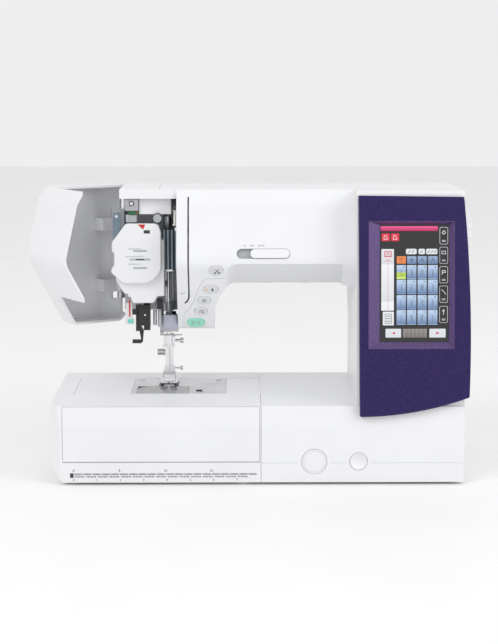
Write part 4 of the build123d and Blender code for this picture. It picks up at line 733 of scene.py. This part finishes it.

# %% [markdown]
# The back can't be left bare: a casing is screwed together from behind. Screws stand near its corners
# with a dished head, air slots let the motor's heat out, and the rating plate is left blank. The slots
# are flat dark patches: painted shade in place of the dark openings.

# %% Back of the machine
screw = disc(back_face, 0, 0, 3.0, 0.1, 28, 0.08)
screws = [copy_of(screw, (x, 0, z)) for x, z in ((190.0, 34.0), (190.0, 300.0), (20.0, 34.0))]
bpy.data.objects.remove(screw)
# Painted shade: each air slot is a flat black patch standing in for the shadow inside the opening.
vent_shade_patches = [patch(back_face, -165.0, 230.0 + step * 6.0, 44.0, 2.0, 0.9, 0.1) for step in range(8)]
settle("air_slot_shade", vent_shade_patches, "ink")
settle("rating_plate", [patch(back_face, -100.0, 52.0, 46.0, 22.0, 1.6, 0.1)], "pale_grey")
settle("rear_screws", screws, "steel")

# %% [markdown]
# ## Inside the head
# With the face cover open, the head shows its working parts: the pre-tension block with its screw,
# thread guides, a dial, a roller and a row of rails. They are small parts in front of the head
# plate, made from blocks, bars and discs with broken edges.

# %% Parts on the head plate
settle("pretension_block", [
    bar((-144.5, -29.0, 293.9), (-129.6, -23.6, 307.0), 0.6),
    bar((-142.5, -30.2, 296.4), (-139.5, -28.6, 304.6), 0.4),
], "zinc")
front = surface((0, -29.0, 0))
settle("pretension_screw_ring", [disc(front, -136.9, 302.0, 3.1, 0.5, 28)], "black")
ring_front = front @ Matrix.Translation((0, 0, 0.5 * MM))
settle("pretension_screw", [disc(ring_front, -136.9, 302.0, 2.2, 0.8, 28, 0.5)], "chrome")
settle("guide_strip", [bar((-140.3, -28.4, 289.4), (-129.8, -23.6, 293.3), 0.4)], "board")
settle("guide_mark", [disc(surface((0, -28.4, 0)), -131.4, 291.5, 0.9, 0.15, 16)], "red_ink")
settle("guide_bracket", [
    bar((-143.6, -27.4, 281.1), (-131.4, -23.6, 289.4), 0.5),
    rod((-140.6, -28.2, 285.2), (-140.6, -23.6, 285.2), 1.6),
], "zinc")
settle("side_plate", [bar((-158.2, -25.2, 258.4), (-149.6, -23.6, 292.0), 0.6)], "steel_blue")
settle("side_plate_screws", [
    rod((-154.0, -26.2, z), (-154.0, -25.0, z), 1.7) for z in (263.0, 287.6)
], "chrome")

# %% [markdown]
# The white cover over the threader carries three slots, a small label and a red triangle that
# points to the thread's way down. The slots are dark recesses with a lip; here each is a grey field of
# painted shade as wide as the recess, with a black core of painted shade in the middle one.

# %% Marks on the threader cover
cover_face = surface((0, -30.0, 0))
slot_sizes = ((249.5, 15.5), (240.0, 23.6), (230.5, 15.5))
# Painted shade: flat grey and black fields stand in for the shadow inside the recessed slots.
slots = [patch(cover_face, -128.0, z, width, 2.3, 1.1, 0.06) for z, width in slot_sizes]
settle("threader_cover_slot_shade", slots, "grey")
settle("threader_cover_middle_slot_shade", [patch(cover_face, -128.0, 240.0, 9.0, 1.2, 0.5, 0.1)], "black")
settle("threader_cover_pointer", [
    outline(cover_face, [(-130.6, 279.0), (-121.8, 279.0), (-124.4, 273.4)], 0.1),
], "red_ink")
settle("threader_cover_label", [patch(cover_face, -120.3, 270.8, 6.8, 3.6, 0.4, 0.1)], "ink")

# %% Dial, roller and posts behind the cover
settle("tension_dial", [
    disc(surface((0, -26.0, 0)), -108.8, 285.7, 4.8, 2.2, 40, 0.8),
], "grey")
dial_ring = ring(surface((0, -26.0, 0)), -108.8, 285.7, 5.2, 0.45, 0.4)
settle("tension_dial_ring", [dial_ring], "black")
settle("thread_roller", [
    rod((-89.6, -20.0, 278.4), (-89.6, -20.0, 292.4), 1.7),
    rod((-89.6, -20.0, 276.8), (-89.6, -20.0, 278.4), 2.5),
    rod((-89.6, -20.0, 292.4), (-89.6, -20.0, 293.8), 2.5),
], "lens")
settle("thread_guide_brown", [bar((-91.2, -21.6, 299.0), (-87.6, -17.8, 306.4), 0.5)],
       "black")
columns_in_head = [
    bar((x, -22.6, 228.4), (x + 1.9, -21.4, 272.2), 0.3) for x in (-102.6, -98.2, -93.8, -89.6)
]
settle("head_rails", columns_in_head, "steel_blue")
# Painted shade: a black plate behind the rails stands in for the shadow deep inside the head.
shade_behind_rails = bar((-103.4, -21.4, 227.8), (-87.6, -20.6, 272.8), 0.2)
settle("head_painted_shade_plate", [shade_behind_rails], "black")
print("pieces so far:", len(made))

# %% [markdown]
# Below them hang the parts that thread the needle. The lever is white with a red line and a teal
# tip. The black body behind it guides the hook. The line, the tip, the rib and its mark ride on
# the threader, so they come down with its lever. The rest stays on the machine.

# %% Threader details
lever_front = surface((0, -12.6, 0))
settle("threader_lever_line", [patch(lever_front, -141.6, 182.6, 1.5, 19.0, 0.3, 0.1)], "red_ink", "threader")
lever_tip = bar((-144.0, -13.4, 165.8), (-137.4, -8.6, 170.4), 0.9)
settle("threader_lever_tip", [lever_tip], "teal", "threader")
settle("threader_lever_screw", [disc(surface((0, -13.0, 0)), -141.7, 197.8, 2.0, 0.9, 24, 0.4)], "chrome")
settle("threader_body_rib", [
    bar((-131.4, -13.8, 163.0), (-118.0, -12.2, 187.0), 0.7),
    bar((-128.8, -14.6, 171.0), (-120.6, -13.4, 184.0), 0.5),
], "black", "threader")
settle("threader_body_mark", [disc(surface((0, -14.6, 0)), -124.2, 175.4, 0.9, 0.2, 16)], "white", "threader")
settle("needle_cylinders", [
    rod((-113.2, -8.0, 163.0), (-113.2, -8.0, 180.0), 2.2),
    rod((-107.6, -8.0, 161.0), (-107.6, -8.0, 180.0), 2.4),
], "zinc")
settle("guard_lobe", [bar((-110.8, -13.0, 181.2), (-104.4, -8.0, 194.0), 1.6)], "black")
settle("bar_cover_plate", [bar((-104.4, -5.6, 157.6), (-86.6, -4.2, 174.0), 0.5)], "lavender")
bpy.ops.object.select_all(action="DESELECT")
print("pieces in all:", len(made))

# %% [markdown]
# ## Studio, floor and camera
# A product picture is lit from all round: a white world for the fill, two broad soft boxes for the
# shape, and a pale floor. The camera stands in front of the machine, a little above it.

# %% Floor
def soft_floor():
    bpy.ops.mesh.primitive_plane_add(size=12.0, location=(0, 0, 0))
    floor = bpy.context.object
    floor.name = "studio_floor"
    floor.data.materials.append(moulded_plastic("floor_white", (0.9, 0.9, 0.9), 0.6, 0.0, tone=0.01))
    return floor


soft_floor()
world = bpy.data.worlds.new("studio_world")
world.use_nodes = True
world.node_tree.nodes["Background"].inputs["Color"].default_value = (1, 1, 1, 1)
world.node_tree.nodes["Background"].inputs["Strength"].default_value = 0.86
bpy.context.scene.world = world


# %% Lights
def soft_box(name, place, aim, size, power):
    lamp = bpy.data.lights.new(name, "AREA")
    lamp.shape = "RECTANGLE"
    lamp.size, lamp.size_y = size
    lamp.energy = power
    holder = bpy.data.objects.new(name, lamp)
    bpy.context.collection.objects.link(holder)
    holder.location = place
    holder.rotation_euler = (Vector(aim) - Vector(place)).to_track_quat("-Z", "Y").to_euler()


soft_box("key_box", (-1.4, -1.6, 2.0), (0, 0, 0.15), (1.2, 1.2), 17)
soft_box("fill_box", (1.8, -1.2, 1.3), (0, 0, 0.15), (1.2, 1.2), 14)

# %% Camera
camera_data = bpy.data.cameras.new("camera")
camera_data.lens = 83.85
camera_data.sensor_width = 36.0
camera = bpy.data.objects.new("camera", camera_data)
bpy.context.collection.objects.link(camera)
camera.location = (-0.0218, -1.6832, 0.4365)
camera.rotation_euler = (math.radians(90 - 9.165), 0, math.radians(-0.5))
bpy.context.scene.camera = camera
bpy.context.scene.view_settings.view_transform = "Standard"
